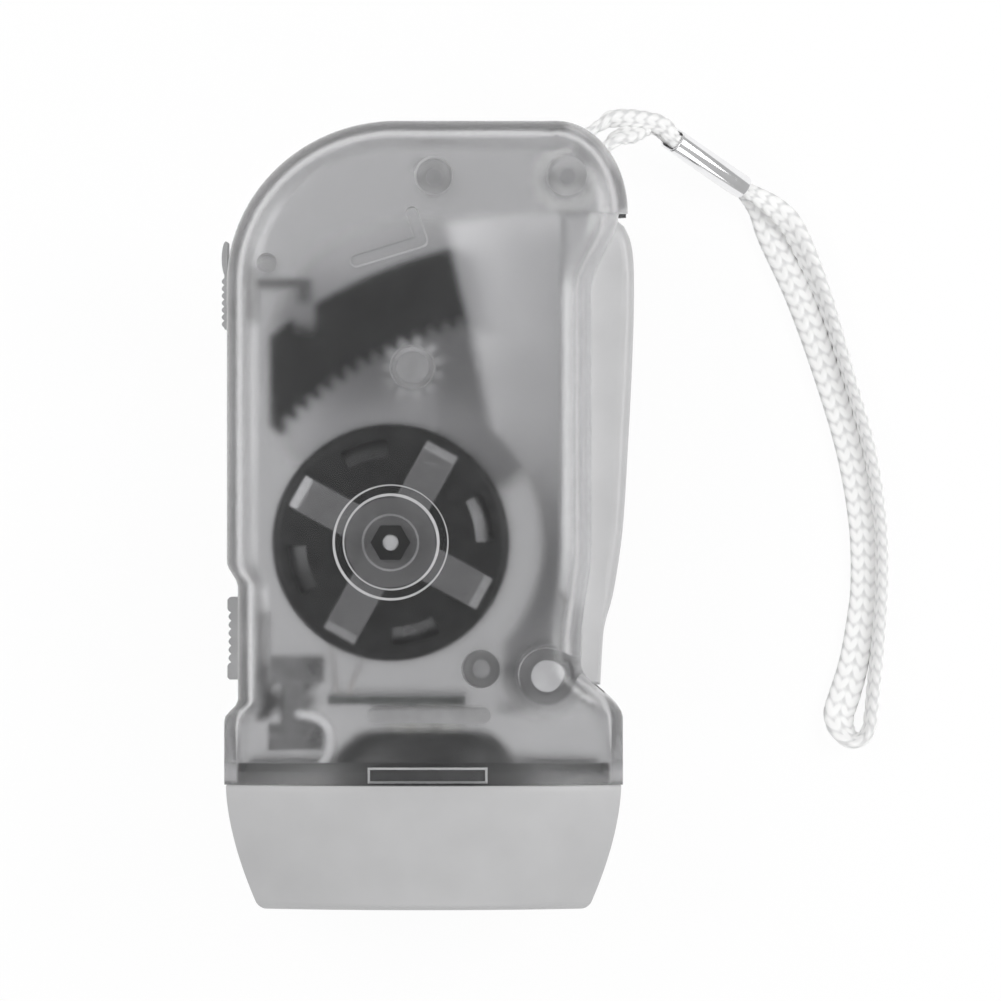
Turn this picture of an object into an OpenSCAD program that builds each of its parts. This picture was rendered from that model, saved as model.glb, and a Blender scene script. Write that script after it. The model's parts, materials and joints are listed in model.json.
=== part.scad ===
// Hand press dynamo flashlight with a clear case, a squeeze lever, a gear train,
// a flywheel generator, a lamp head and a braided wrist lanyard.
// It lies on its back: X runs across, Y from the lamp to the lanyard end, Z up.
// Sizes are in millimetres.

/* [Case] */
// Thickness of the closed case from back to front
case_t = 34; // [34:0.5:38]
// Width of the case across its upper body
case_w = 52.9; // [52.4:0.1:54.4]
// Wall of the two clear halves
wall = 2; // [1.7:0.1:2.1]
// Radius of the rounded rim around each half
edge_r = 5; // [4.5:0.25:6]
// Height of the case top above the middle of the part
top_y = 52.2; // [52:0.1:53.6]
// Depth of the seat in the side that takes the squeeze lever
seat_in = 4.8; // [4.4:0.1:5]
// Depth of the thumb recess for the lamp switch
thumb_in = 1.45; // [1.3:0.05:1.6]
// Radius of the shank of each case screw
screw_r = 1.1; // [0.9:0.05:1.2]

/* [Fits] */
// Gap between pieces that slide or swing past each other
play = 0.3; // [0.25:0.05:0.4]
// Gap on the radius of every pin that something turns on
run_fit = 0.04; // [0.02:0.01:0.08]
// Gap on the radius of pieces that are pressed or glued together
seat_fit = 0.02; // [0.01:0.01:0.04]

/* [Head] */
// Length of the lamp head cap
head_len = 16.5; // [15.5:0.5:19]
// Share of its width that the cap loses towards the lens
head_taper = 0.165; // [0.14:0.005:0.18]
// Rise of the crowned front and back of the cap
crown = 7; // [6:0.25:7.5]
// Border of the cap beside the clear lens
lens_border = 2.98; // [2.6:0.02:3.4]
// Height of the clear lens
lens_h = 21.5; // [20:0.5:22]
// Thickness of the clear lens
lens_t = 1.6; // [1.2:0.1:2]
// Radius of each lamp
led_r = 2.4; // [2:0.1:2.4]

/* [Drive] */
// Depth of the toothed sector from its pitch line to its rim
rack_w = 10.1; // [9.8:0.1:10.4]
// Gap between the top of the lever and the upper posts
lever_gap = 2; // [1.8:0.1:2.4]
// Room beside the large idler gear, both sides together
wheel_room = 4.1; // [3.9:0.1:4.6]
// Thickness of the toothed sector
sector_t = 4; // [3.5:0.1:4.2]
// Radius of the lever pivot pin
pivot_r = 2; // [1.8:0.1:2.2]
// Radius of the idler axle
axle_r = 1.5; // [1.3:0.1:1.6]
// Radius of the flywheel shaft
shaft_r = 1.05; // [0.9:0.05:1.1]
// Radius of the flywheel
fly_r = 15.7; // [15.2:0.1:16]
// Width of each clutch arm on the flywheel
arm_w = 4.6; // [4:0.2:5]
// Wire thickness of the return spring
spring_d = 0.8; // [0.7:0.05:0.8]
// Wire thickness of the generator coil
coil_d = 0.5; // [0.4:0.05:0.5]

/* [Controls] */
// Travel of the lever lock
lock_travel = 3.5; // [3:0.25:3.5]
// Travel of the lamp switch
switch_travel = 2; // [1.5:0.25:2.5]

/* [Lanyard] */
// Thickness of the lanyard cord
cord_d = 2.2; // [1.8:0.1:2.2]
// Length of the crimped sleeve
sleeve_len = 12.4; // [11:0.2:13]
// Wall of the crimped sleeve
sleeve_t = 0.35; // [0.3:0.05:0.5]

/* [Part shown] */
// Which piece to draw

/* [Hidden] */
$fn = 48;

// levels of the case
hw = case_w / 2;
seam = case_t / 2;
front_in = case_t - wall;
joint_y = -35.4;
lens_y = joint_y - head_len;
head_h = seam - 0.5;
head_x = -0.5;
// rounded corners of the outline
left_a = 22.4;
left_b = 21.4;
left_cx = -hw + left_a;
left_cy = top_y - left_b;
right_a = 9.5;
right_b = 12.2;
right_cy = top_y - right_b;
right_cx = hw - right_a;
// screw bosses and posts
post_r = 2.35;
head_r = 1.9;
boss_a = [0.9, top_y - 7.4];
boss_b = [right_cx + 1.45, top_y - 7.4];
// lever pivot, idler and flywheel centres
pivot = [hw - 10.78, -20.9];
boss_c = pivot + [-8.57, 0.9];
bosses = [boss_a, boss_b, boss_c];
sector_n = 147;
pinion_n = 11;
wheel_n = 80;
spin_n = 13;
lever_r = norm(boss_b - pivot) - post_r - lever_gap;
sector_r = lever_r - 3.5;
drive_m = 2 * (sector_r - rack_w) / sector_n;
idler_x = -seat_in / 2 + 0.45;
fly_x = idler_x - 2.88;
fly_low = -5.6;
idler_gap = drive_m * (sector_n - pinion_n) / 2;
drive_dir = acos((idler_x - pivot[0]) / idler_gap);
idler = pivot + idler_gap * [cos(drive_dir), sin(drive_dir)];
spin_m = min((case_w - seat_in - 2 * wall - wheel_room) / wheel_n, 2 * (idler[1] - fly_low) / (wheel_n + spin_n));
fly_gap = spin_m * (wheel_n + spin_n) / 2;
spin_dir = 360 - acos((fly_x - idler_x) / fly_gap);
fly = idler + fly_gap * [cos(spin_dir), sin(spin_dir)];
sector_pr = drive_m * sector_n / 2;
pinion_pr = drive_m * pinion_n / 2;
wheel_pr = spin_m * wheel_n / 2;
spin_pr = spin_m * spin_n / 2;
backlash = 0.12;
// sector and lever
web_edge = drive_dir - 10.9;
sector_end_x = -hw + 5.45;
arm_in = sector_pr + 3.9;
arm_out = sector_r - 1;
grip_h = 9.4;
slot_h = grip_h + play;
flank_x = hw - 9.05;
grip_wall = 2.2;
hub_r = 4;
foot_r = 8.2;
web_z0 = seam - 4;
web_z1 = seam - 1;
rack_z1 = web_z1 + sector_t;
// idler and flywheel levels
wheel_z0 = wall + 2;
wheel_z1 = wheel_z0 + 2.6;
spin_z0 = wheel_z0 - 0.4;
spin_z1 = wheel_z1 + 0.6;
idler_top = rack_z1 + 0.6;
axle_head_r = axle_r + 0.65;
stator_z0 = wall + 8.2;
stator_z1 = stator_z0 + 1.2;
coil_z0 = stator_z1 + 1.2;
coil_z1 = coil_z0 + 6.6;
cap_z0 = coil_z1 + 1.2;
cap_z1 = cap_z0 + 0.9;
fly_z1 = front_in - 3.6;
fly_z0 = stator_z1 + 3;
disc_z0 = fly_z1 - 2.8;
magnet_in = fly_r - 5.3;
magnet_out = fly_r - 2.7;
arms_z1 = fly_z1 + 1;
claw_out = magnet_in - 0.5;
core_r = claw_out - 3;
wind_r = core_r + coil_d / 2 + 0.06;
coil_turns = 6;
coil_pitch = 0.95;
// locating peg and stator posts
stator_post_r = fly_r - 4;
stator_dirs = [200, 270, 340];
function stator_post(a) = fly + stator_post_r * [cos(a), sin(a)];
// lamp board and lamps
board_y = -24.8;
board_t = 1.2;
board_x0 = -hw + 13.25;
board_x1 = boss_c[0] - 2.1;
led_ring = 3.3;
led_dirs = [90, 210, 330];
bowl_y = -28.4;
bowl_r = 7.2;
lens_back = lens_y + 1.6 + lens_t;
// lock and switch
lock_y0 = left_cy - 6;
lock_y1 = left_cy + 6.4;
stem_y0 = left_cy - 1.6;
stem_y1 = left_cy + 2.2;
hook_x = -hw + 10.95;
hook_w = 1.8;
hook_y = pivot[1] + sqrt(pow(sector_r + 0.4, 2) - pow(hook_x - pivot[0], 2));
peg = [-hw + 5.4, hook_y + 4.92];
knob_y0 = -21.6;
knob_y1 = -10.7;
floor_x = -hw + thumb_in;
knob_out = 1.55;
carriage_x = floor_x + wall + 0.15;
sw_x0 = -hw + 7.05;
sw_x1 = sw_x0 + 3.4;
sw_y0 = -30.4;
sw_y1 = -18.8;
sw_z1 = seam + 5;
sw_posts = [[sw_x1 + 1.1, -20.2], [sw_x1 + 1.1, -29]];
sw_post_r = 1;
// return spring
spring_r = 4.75;
spring_pitch = spring_d + 0.45;
spring_turns = 3;
spring_z = seam - grip_h + 0.1 + spring_d / 2;
leg_stop = pivot + [spring_r + spring_d / 2 + 0.95, 6.4];

// shared curves
function mix(a, b, t) = a + (b - a) * t;
function ease(t) = let(c = min(1, max(0, t))) c * c * (3 - 2 * c);
function unit(v) = v / norm(v);

// outline of the case: left and right edge at a height, moved in by an inset
function thumb_dip(y) = thumb_in * ease((-6 - y) / 3.2) * ease((y + 26.6) / 2.4);
function left_edge(y, t) = y >= left_cy
    ? left_cx - (left_a - t) * sqrt(max(0, 1 - pow((y - left_cy) / (left_b - t), 2)))
    : -hw + thumb_dip(y) - 0.4 * ease((-24.5 - y) / 3) + t;
function seat_dip(y) = 1.2 + (seat_in - 1.2) * ease((right_cy - y) / 10) + 1.4 * ease((-4 - y) / 13)
    - (seat_in + 0.75) * ease((-19.5 - y) / 7);
function right_edge(y, t) = y >= right_cy
    ? right_cx + (right_a - t) * sqrt(max(0, 1 - pow((y - right_cy) / (right_b - t), 2)))
    : hw - seat_dip(y) - t;

// distance of a point from the rim, counted inwards
function rim_left(x, y, t) = y < left_cy ? x - left_edge(y, t)
    : x > left_cx ? top_y - t - y
    : (1 - norm([(x - left_cx) / (left_a - t), (y - left_cy) / (left_b - t)])) * (left_b - t);
function rim_right(x, y, t) = y < right_cy ? right_edge(y, t) - x
    : x < right_cx ? top_y - t - y
    : (1 - norm([(x - right_cx) / (right_a - t), (y - right_cy) / (right_b - t)])) * (right_a - t);
function rim(x, y, t) = max(0, min(rim_left(x, y, t), rim_right(x, y, t)));

// height of the case skin above the seam
function head_mix(y) = ease((-19 - y) / 15);
function crown_rise(s, h) = h * (1 - pow(min(1, abs(s)), 2.2));
function skin(x, y, t) = let(
        w = head_mix(y),
        r = edge_r - t,
        d = min(1, rim(x, y, t) / r),
        mid = (left_edge(y, t) + right_edge(y, t)) / 2,
        half = (right_edge(y, t) - left_edge(y, t)) / 2,
        flat = seam - edge_r + r * sqrt(1 - pow(1 - d, 2)),
        dome = head_h - t * 0.8 - crown + crown_rise((x - mid) / half, crown - t * 0.2))
    mix(flat, dome, w);

// stations along the case: plain heights, then angles round the top corner
plain_y = [joint_y, -32, -29, -27, -26, -25, -24, -22.5, -21, -19, -16, -12, -9.4, -8.6, -7.6, -6.4, -4,
    10, 29, left_cy];
low_a = [10, 16];
high_a = [29, 34, 40, 48, 56, 64, 72, 80, 90];
function corner_y(a, t) = left_cy + (left_b - t) * sin(a);
function stations(t) = concat(plain_y, [for (a = low_a) corner_y(a, t)], [right_cy - 0.6, right_cy],
    [for (a = high_a) corner_y(a, t)]);
function section(y, t) = let(
        l = left_edge(y, t),
        r = right_edge(y, t),
        e = edge_r - t,
        in_l = [for (a = [0 : 18 : 90]) l + e * (1 - cos(a))],
        in_m = [for (k = [1 : 8]) mix(l + e, r - e, k / 9)],
        in_r = [for (a = [90 : -18 : 0]) r - e * (1 - cos(a))],
        xs = concat(in_l, in_m, in_r))
    concat([[l, y, 0]], [for (x = xs) [x, y, skin(x, y, t)]], [[r, y, 0]]);

// one hollow half of the case, open at the seam and at the head joint
module half_case() {
    ys = stations(0);
    yi = stations(wall);
    outer = [for (y = ys) section(y, 0)];
    inner = [for (y = yi) section(y, wall)];
    n = len(ys);
    m = len(outer[0]);
    pts = concat([for (s = outer) each s], [for (s = inner) each s]);
    b = n * m;
    top = (n - 1) * m;
    walls = [for (i = [0 : n - 2]) for (j = [0 : m - 2]) each [
        [i * m + j, (i + 1) * m + j, (i + 1) * m + j + 1],
        [i * m + j, (i + 1) * m + j + 1, i * m + j + 1],
        [b + i * m + j, b + (i + 1) * m + j + 1, b + (i + 1) * m + j],
        [b + i * m + j, b + i * m + j + 1, b + (i + 1) * m + j + 1]]];
    ends = [for (j = [1 : m - 2]) each [
        [top, top + j + 1, top + j],
        [b + top, b + top + j, b + top + j + 1]]];
    seams = [for (i = [0 : n - 2]) each [
        [i * m, b + i * m, b + (i + 1) * m],
        [i * m, b + (i + 1) * m, (i + 1) * m],
        [b + i * m + m - 1, i * m + m - 1, (i + 1) * m + m - 1],
        [b + i * m + m - 1, (i + 1) * m + m - 1, b + (i + 1) * m + m - 1]]];
    lips = [for (j = [0 : m - 2]) each [[j, j + 1, b + j + 1], [j, b + j + 1, b + j]]];
    tops = [[b + top, b + top + m - 1, top + m - 1], [b + top, top + m - 1, top]];
    polyhedron(points = pts, faces = concat(walls, ends, seams, lips, tops), convexity = 8);
}

// upright cylinder between two levels
module post(p, r, z0, z1) {
    translate([p[0], p[1], z0])
        cylinder(r = r, h = z1 - z0);
}

// upright box between two corners
module slab(a, b) {
    translate(a)
        cube(b - a);
}

// the openings in the side walls, shared by both halves
module side_openings() {
    translate([0, 0, seam - slot_h])
        linear_extrude(2 * slot_h)
            intersection() {
                translate(pivot)
                    circle(r = lever_r + 2.5 * play, $fn = 120);
                union() {
                    translate([flank_x + 0.2, pivot[1]])
                        square([20, 80]);
                    intersection() {
                        translate(pivot)
                            circle(r = foot_r);
                        translate([flank_x + 0.2, pivot[1] - foot_r])
                            square(2 * foot_r);
                    }
                }
            }
    slab([-hw - 2, stem_y0 - lock_travel - play, seam - 3], [-hw + wall + 3, stem_y1 + play, seam + 3]);
    slab([-hw - 2, -17.8 - switch_travel - play, seam - 2.5], [floor_x + wall + 1, -13.8 + play, seam + 2.5]);
    translate([boss_b[0], boss_b[1], seam - cord_d / 2 - 0.45])
        rotate([0, 0, 52])
            translate([2.6, -cord_d - 1.7, 0])
                cube([9, 2 * cord_d + 3.2, cord_d + 0.9]);
}

// bar with round ends
module round_bar(x0, x1, y0, y1, z0, z1) {
    r = (y1 - y0) / 2;
    slab([x0 + r, y0, z0], [x1 - r, y1, z1]);
    post([x0 + r, y0 + r], r, z0, z1);
    post([x1 - r, y0 + r], r, z0, z1);
}

module front_shell() {
    color([0.72, 0.73, 0.74, 0.45])
        difference() {
            union() {
                translate([0, 0, seam])
                    half_case();
                for (p = bosses)
                    post(p, post_r, seam, front_in + 0.6);
                post(peg, 1.3, seam, front_in + 0.6);
                post(idler, axle_head_r + 0.7, idler_top + play, front_in + 0.6);
                post(pivot, 3.7, seam + grip_h + play, front_in + 0.6);
                post(fly, 3.5, front_in - 1.8, front_in + 0.6);
                difference() {
                    post(fly, 7.5, front_in - 1, front_in + 0.6);
                    post(fly, 6.2, front_in - 2, front_in + 0.1);
                }
                translate([-9, 33.3, front_in - 5])
                    rotate([0, 0, 16.4])
                        cube([9.6, 1.3, 5.6]);
                translate([-1.9, 39.6, front_in - 5])
                    rotate([0, 0, -63.5])
                        cube([4.6, 1.3, 5.6]);
                round_bar(-7.9, boss_c[0] + 1.2, -27.2, board_y - 0.2, front_in - 8, front_in + 0.4);
            }
            for (p = bosses)
                post(p, screw_r + seat_fit, seam - 1, seam + 9);
            post(idler, axle_head_r + seat_fit, idler_top - 1, front_in - 2);
            post(pivot, pivot_r + seat_fit, seam, front_in - 1);
            translate([fly[0], fly[1], front_in - 2])
                cylinder(r = 2.62 + seat_fit, h = 3, $fn = 6);
            slab([-7.8, joint_y + 0.3, front_in - 3], [7.9, joint_y + 2.4, case_t - 1.7]);
            side_openings();
        }
}

module rear_shell() {
    color([0.7, 0.71, 0.72, 0.45])
        difference() {
            union() {
                translate([0, 0, seam])
                    mirror([0, 0, 1])
                        half_case();
                for (p = bosses) {
                    post(p, post_r, wall - 0.6, seam);
                    post(p, 3, wall - 0.6, wall + 3.5);
                }
                post(idler, 3, wall - 0.6, wheel_z0 - 0.6);
                post(pivot, 3.7, wall - 0.6, seam - grip_h - play);
                post(fly, 4.2, wall - 0.6, wall + 1);
                for (a = stator_dirs)
                    post(stator_post(a), 2, wall - 0.6, stator_z0);
                for (p = sw_posts)
                    post(p, sw_post_r, seam - skin(p[0], p[1], 0) + 0.9, sw_z1);
                post([pivot[0] - 5.27, pivot[1] - spring_r + spring_d / 2 + 0.95], 0.9, wall - 0.6, spring_z + 2);
                round_bar(-7.9, boss_c[0] + 1.2, -27.2, board_y - 0.2, wall - 0.4, wall + 7.6);
            }
            for (p = bosses) {
                post(p, screw_r + 0.1, -1, seam + 1);
                post(p, head_r + 0.15, -1, wall + 1.6);
            }
            post(idler, axle_r + seat_fit, 0.9, seam);
            post(pivot, pivot_r + seat_fit, 1, seam);
            post(fly, 2.6 + seat_fit, 0.9, seam);
            for (a = stator_dirs)
                post(stator_post(a), 0.7 + seat_fit, wall + 2, seam);
            for (p = sw_posts)
                post(p, 0.5 + seat_fit, seam, sw_z1 + 1);
            slab([-7.8, joint_y + 0.3, 1.7], [7.9, joint_y + 2.4, wall + 3]);
            side_openings();
        }
}

module case_screws() {
    color([0.6, 0.61, 0.63])
        for (p = bosses)
            difference() {
                union() {
                    post(p, head_r, 0.3, wall + 1.55);
                    post(p, screw_r, wall + 1, seam + 8.6);
                }
                slab([p[0] - 1.2, p[1] - 0.25, -1], [p[0] + 1.2, p[1] + 0.25, 1.5]);
                slab([p[0] - 0.25, p[1] - 1.2, -1], [p[0] + 0.25, p[1] + 1.2, 1.5]);
            }
}

// closed loop round the head, from the left edge over the front and back again
joint_l = left_edge(joint_y, 0);
joint_r = right_edge(joint_y, 0);
joint_mid = (joint_l + joint_r) / 2;
joint_half = (joint_r - joint_l) / 2;
lens_w = 2 * (joint_half * (1 - head_taper) - lens_border);
loop_n = 18;
side_z = [0.6, 0.2, -0.2, -0.6];
function head_ring(y, sx, t) = let(
        hx = joint_half * sx - t,
        hz = (head_h - crown) * mix(1, sx, 1.2) - t * 0.8,
        rise = (crown - t * 0.2) * mix(1, sx, 1.2),
        xs = [for (k = [0 : loop_n]) -hx * cos(180 * k / loop_n)],
        over = [for (x = xs) [joint_mid + x, y, seam + hz + crown_rise(x / hx, rise)]],
        right = [for (f = side_z) [joint_mid + hx, y, seam + hz * f]],
        under = [for (k = [loop_n : -1 : 0]) [joint_mid + xs[k], y, seam - hz - crown_rise(xs[k] / hx, rise)]],
        left = [for (f = side_z) [joint_mid - hx, y, seam - hz * f]])
    concat(over, right, under, left);
function oval(w, h, a, e) = [
    w / 2 * sign(cos(a)) * pow(abs(cos(a)), 2 / e),
    h / 2 * sign(sin(a)) * pow(abs(sin(a)), 2 / e)];
function lens_ring(y, w, h) = [for (p = head_ring(y, 1, 0)) let(
        a = atan2((p[2] - seam) * w / h * 1.4, p[0] - joint_mid),
        q = oval(w, h, a, 2.6)) [head_x + q[0], y, seam + q[1]]];
function cap_scale(t) = 1 - head_taper * pow(t, 1.7);

// skin through a list of rings, the last joined to the first
module ring_loft(rings) {
    n = len(rings);
    m = len(rings[0]);
    pts = [for (r = rings) each r];
    faces = [for (i = [0 : n - 1]) for (j = [0 : m - 1]) let(
            k = (i + 1) % n,
            l = (j + 1) % m)
        each [[i * m + j, i * m + l, k * m + l], [i * m + j, k * m + l, k * m + j]]];
    polyhedron(points = pts, faces = faces, convexity = 8);
}

// stations of the cap, closer together near the lens
cap_steps = [0.3, 0.55, 0.75, 0.9, 0.96];
cap_wall = 1.8;

module head_cap() {
    color([0.74, 0.75, 0.76])
        union() {
            ring_loft(concat(
                [head_ring(joint_y + 3, 1, wall + 0.25),
                    head_ring(joint_y, 1, wall + 0.25),
                    head_ring(joint_y, 1, 0.2)],
                [for (t = cap_steps) head_ring(joint_y - head_len * t, cap_scale(t), 0.2)],
                [head_ring(lens_y + 0.25, cap_scale(0.985), 0.55),
                    head_ring(lens_y, cap_scale(1), 1.2),
                    lens_ring(lens_y, lens_w - 3, lens_h - 3),
                    lens_ring(lens_y + 1.6, lens_w - 4, lens_h - 4),
                    lens_ring(lens_y + 1.6, lens_w + 0.8, lens_h + 0.8),
                    lens_ring(lens_back, lens_w + 0.8, lens_h + 0.8),
                    head_ring(lens_back, cap_scale(0.8), cap_wall + 0.2)],
                [for (t = [0.55, 0.3, 0]) head_ring(joint_y - head_len * t, cap_scale(t), cap_wall + 1.6)],
                [head_ring(joint_y + 3, 1, cap_wall + 1.6)]));
            slab([-7.4, joint_y + 0.6, case_t - 3.9], [7.5, joint_y + 2.1, case_t - 2]);
            slab([-7.4, joint_y + 0.6, 2], [7.5, joint_y + 2.1, 3.9]);
        }
}

module lens() {
    color([0.86, 0.9, 0.93, 0.35])
        translate([head_x, lens_y + 1.6, seam])
            rotate([-90, 0, 0])
                linear_extrude(lens_t)
                    polygon([for (a = [0 : 7.5 : 359]) oval(lens_w, lens_h, a, 2.6)]);
}

// bowl of the reflector: rings from the lamps to the lens
bowl_n = 28;
function bowl_ring(t, grow) = let(
        s = sqrt(t),
        w = mix(2 * bowl_r, lens_w - 0.6, s) + 2 * grow,
        h = mix(2 * bowl_r, lens_h - 0.6, s) + 2 * grow)
    [for (k = [0 : bowl_n - 1]) let(q = oval(w, h, 360 * k / bowl_n, 2 + 0.6 * s))
        [head_x + q[0], mix(bowl_y, lens_back + 0.05, t), seam + q[1]]];
bowl_steps = [0, 0.04, 0.12, 0.25, 0.45, 0.7, 1];

module reflector() {
    color([0.36, 0.37, 0.38])
        difference() {
            union() {
                ring_loft(concat(
                    [for (t = bowl_steps) bowl_ring(t, -0.9)],
                    [for (k = [len(bowl_steps) - 1 : -1 : 0]) bowl_ring(bowl_steps[k], 0)]));
                translate([head_x, bowl_y, seam])
                    rotate([90, 0, 0])
                        cylinder(r = bowl_r - 0.4, h = 1);
            }
            for (a = led_dirs)
                translate([head_x + led_ring * cos(a), bowl_y + 2, seam + led_ring * sin(a)])
                    rotate([90, 0, 0])
                        cylinder(r = led_r + 0.1, h = 5);
        }
}

module led_board() {
    color([0.3, 0.32, 0.31])
        difference() {
            slab([board_x0, board_y, seam - 8], [board_x1, board_y + board_t, seam + 8]);
            for (a = led_dirs)
                for (s = [-0.7, 0.7])
                    translate([head_x + led_ring * cos(a) + s, board_y + 2, seam + led_ring * sin(a)])
                        rotate([90, 0, 0])
                            cylinder(r = 0.35, h = 4);
        }
}

module leds() {
    color([0.95, 0.94, 0.88, 0.8])
        for (a = led_dirs)
            translate([head_x + led_ring * cos(a), board_y - 0.05, seam + led_ring * sin(a)])
                rotate([90, 0, 0]) {
                    cylinder(r = led_r, h = 5.6);
                    translate([0, 0, 5.6])
                        sphere(r = led_r);
                }
}

// tooth flank: half angle of a tooth at a radius
press = 20;
function involute(a) = tan(a) * 180 / PI - a;
function half_tooth(r, pr, n, slack) = let(rb = pr * cos(press))
    90 / n - slack / pr * 90 / PI / 2 + involute(press) - involute(acos(min(1, rb / max(r, rb))));
function gear_points(m, n, add, ded, phase) = let(
        pr = m * n / 2,
        rs = [pr - ded * m, pr - 0.35 * m, pr, pr + 0.45 * add * m, pr + add * m],
        hs = [for (r = rs) half_tooth(r, pr, n, backlash)])
    [for (i = [0 : n - 1]) let(c = phase + 360 * i / n) each concat(
        [for (k = [0 : 4]) rs[k] * [cos(c - hs[k]), sin(c - hs[k])]],
        [for (k = [4 : -1 : 0]) rs[k] * [cos(c + hs[k]), sin(c + hs[k])]])];

// one tooth space of the sector, as seen from the lever pivot
function space_points(c) = let(
        rs = [sector_pr - 1.1, sector_pr - 0.8 * drive_m, sector_pr, sector_pr + 0.5 * drive_m,
            sector_pr + 1.15 * drive_m],
        hs = [for (r = rs) half_tooth(r, sector_pr, sector_n, -backlash)])
    concat(
        [for (k = [0 : 4]) rs[k] * [cos(c - hs[k]), sin(c - hs[k])]],
        [for (k = [4 : -1 : 0]) rs[k] * [cos(c + hs[k]), sin(c + hs[k])]]);

// ring piece between two radii and two angles round the pivot
module ring_piece(r0, r1, a0, a1) {
    polygon(concat(
        [for (k = [0 : 24]) r1 * [cos(mix(a0, a1, k / 24)), sin(mix(a0, a1, k / 24))]],
        [for (k = [24 : -1 : 0]) r0 * [cos(mix(a0, a1, k / 24)), sin(mix(a0, a1, k / 24))]]));
}

rivet_dirs = [drive_dir - 7, drive_dir + 4];
rivet_ring = sector_pr + 6.6;
function rivet_at(a) = pivot + rivet_ring * [cos(a), sin(a)];

module sector_rack() {
    color([0.2, 0.2, 0.21])
        difference() {
            translate([0, 0, web_z1])
                linear_extrude(sector_t)
                    difference() {
                        translate(pivot)
                            difference() {
                                ring_piece(sector_pr - 0.75 * drive_m, sector_r, web_edge, 138);
                                for (k = [-5 : 9])
                                    polygon(space_points(drive_dir + 360 * k / sector_n));
                            }
                        translate([sector_end_x - 30, -20])
                            square([30, 80]);
                        translate([hook_x - hook_w - 0.45, hook_y - lock_travel - 0.4])
                            square([hook_w + 0.9, 12]);
                    }
            for (a = rivet_dirs)
                post(rivet_at(a), 1.1 + seat_fit, web_z0, rack_z1 + 1);
        }
}

module rack_rivets() {
    color([0.7, 0.71, 0.72])
        for (a = rivet_dirs) {
            post(rivet_at(a), 1.1, web_z0 + 0.2, rack_z1 + 0.02);
            post(rivet_at(a), 1.7, rack_z1 + 0.02, rack_z1 + 0.5);
        }
}

// outer edge of the grip, from the hub to the free end
function grip_edge(d) = [
    [hw - 3.6 - d, -22.2],
    [hw - 3.25 - d, -16],
    [hw - 2.85 - d, -13.6],
    [hw - 2 - d, -10.6],
    [hw - 1.2 - d, -6],
    [hw - 0.5 - d, 0],
    [hw + 0.2 - d, 12],
    [hw + 0.75 - d, 24],
    [hw + 0.85 - d, 31],
    [hw + 0.7 - d, 34.6 - d * 0.2],
    [hw + 0.25 - d, 36.8 - d * 0.4],
    [hw - 0.65 - d, 38.7 - d * 0.8]];
foot_wall = 1.5;
module grip_plan(inner_x) {
    polygon(concat(grip_edge(0), [[hw - 2 - grip_wall, 39.6], [inner_x, 39.8], [inner_x, -10]],
        [[hw - 3 - grip_wall, -12.6], grip_edge(foot_wall)[1], grip_edge(foot_wall)[0]]));
}
module grip_wall_plan() {
    inner = grip_edge(grip_wall);
    polygon(concat(grip_edge(0), [for (k = [len(inner) - 1 : -1 : 2]) inner[k]],
        [grip_edge(foot_wall)[1], grip_edge(foot_wall)[0]]));
}

module lever() {
    color([0.78, 0.78, 0.79])
        difference() {
            union() {
                translate([0, 0, web_z0])
                    linear_extrude(web_z1 - web_z0)
                        union() {
                            difference() {
                                intersection() {
                                    translate(pivot)
                                        circle(r = lever_r, $fn = 120);
                                    polygon(concat(
                                        [pivot + [-5.6, 3.4], pivot + [-3.4, -2]],
                                        grip_edge(0),
                                        [[hw - 2, 42], pivot + 66 * [cos(web_edge), sin(web_edge)],
                                            pivot + 24 * [cos(web_edge), sin(web_edge)]]));
                                }
                                translate(fly)
                                    circle(r = 20, $fn = 96);
                            }
                            translate(pivot)
                                circle(r = 5.8);
                            difference() {
                                translate(pivot)
                                    ring_piece(arm_in, arm_out, web_edge - 1, 136);
                                translate([sector_end_x - 29.2, -20])
                                    square([30, 80]);
                            }
                        }
                translate([0, 0, seam - grip_h])
                    linear_extrude(2 * grip_h)
                        intersection() {
                            translate(pivot)
                                circle(r = lever_r, $fn = 120);
                            grip_wall_plan();
                        }
                for (z = [seam - grip_h, seam + grip_h - 1.8])
                    translate([0, 0, z])
                        linear_extrude(1.8)
                            intersection() {
                                translate(pivot)
                                    circle(r = lever_r, $fn = 120);
                                grip_plan(flank_x);
                            }
                post(pivot, hub_r, seam - grip_h, seam + grip_h);
                post(leg_stop, 0.9, spring_z + 1.6, web_z0 + 0.2);
            }
            post(pivot, pivot_r + run_fit, 0, case_t);
            for (a = rivet_dirs)
                post(rivet_at(a), 1.1 + seat_fit, 0, case_t);
        }
}

module lever_pin() {
    color([0.8, 0.81, 0.82])
        post(pivot, pivot_r, 1.1, front_in - 1.1);
}

// tube along a list of points, with closed ends
module tube(path, r, sides) {
    n = len(path);
    dirs = [for (i = [0 : n - 1]) unit(path[min(n - 1, i + 1)] - path[max(0, i - 1)])];
    pts = [for (i = [0 : n - 1]) let(
            s = unit(cross(dirs[i], [0.013, 0.021, 1])),
            u = cross(s, dirs[i]))
        for (k = [0 : sides - 1]) let(a = 360 * (k + 0.5) / sides)
            path[i] + r * (cos(a) * s + sin(a) * u)];
    sidesf = [for (i = [0 : n - 2]) for (k = [0 : sides - 1]) let(l = (k + 1) % sides)
        each [[i * sides + k, i * sides + l, (i + 1) * sides + l],
            [i * sides + k, (i + 1) * sides + l, (i + 1) * sides + k]]];
    polyhedron(points = pts, faces = concat(sidesf,
        [[for (k = [sides - 1 : -1 : 0]) k]],
        [[for (k = [0 : sides - 1]) (n - 1) * sides + k]]), convexity = 8);
}

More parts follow.
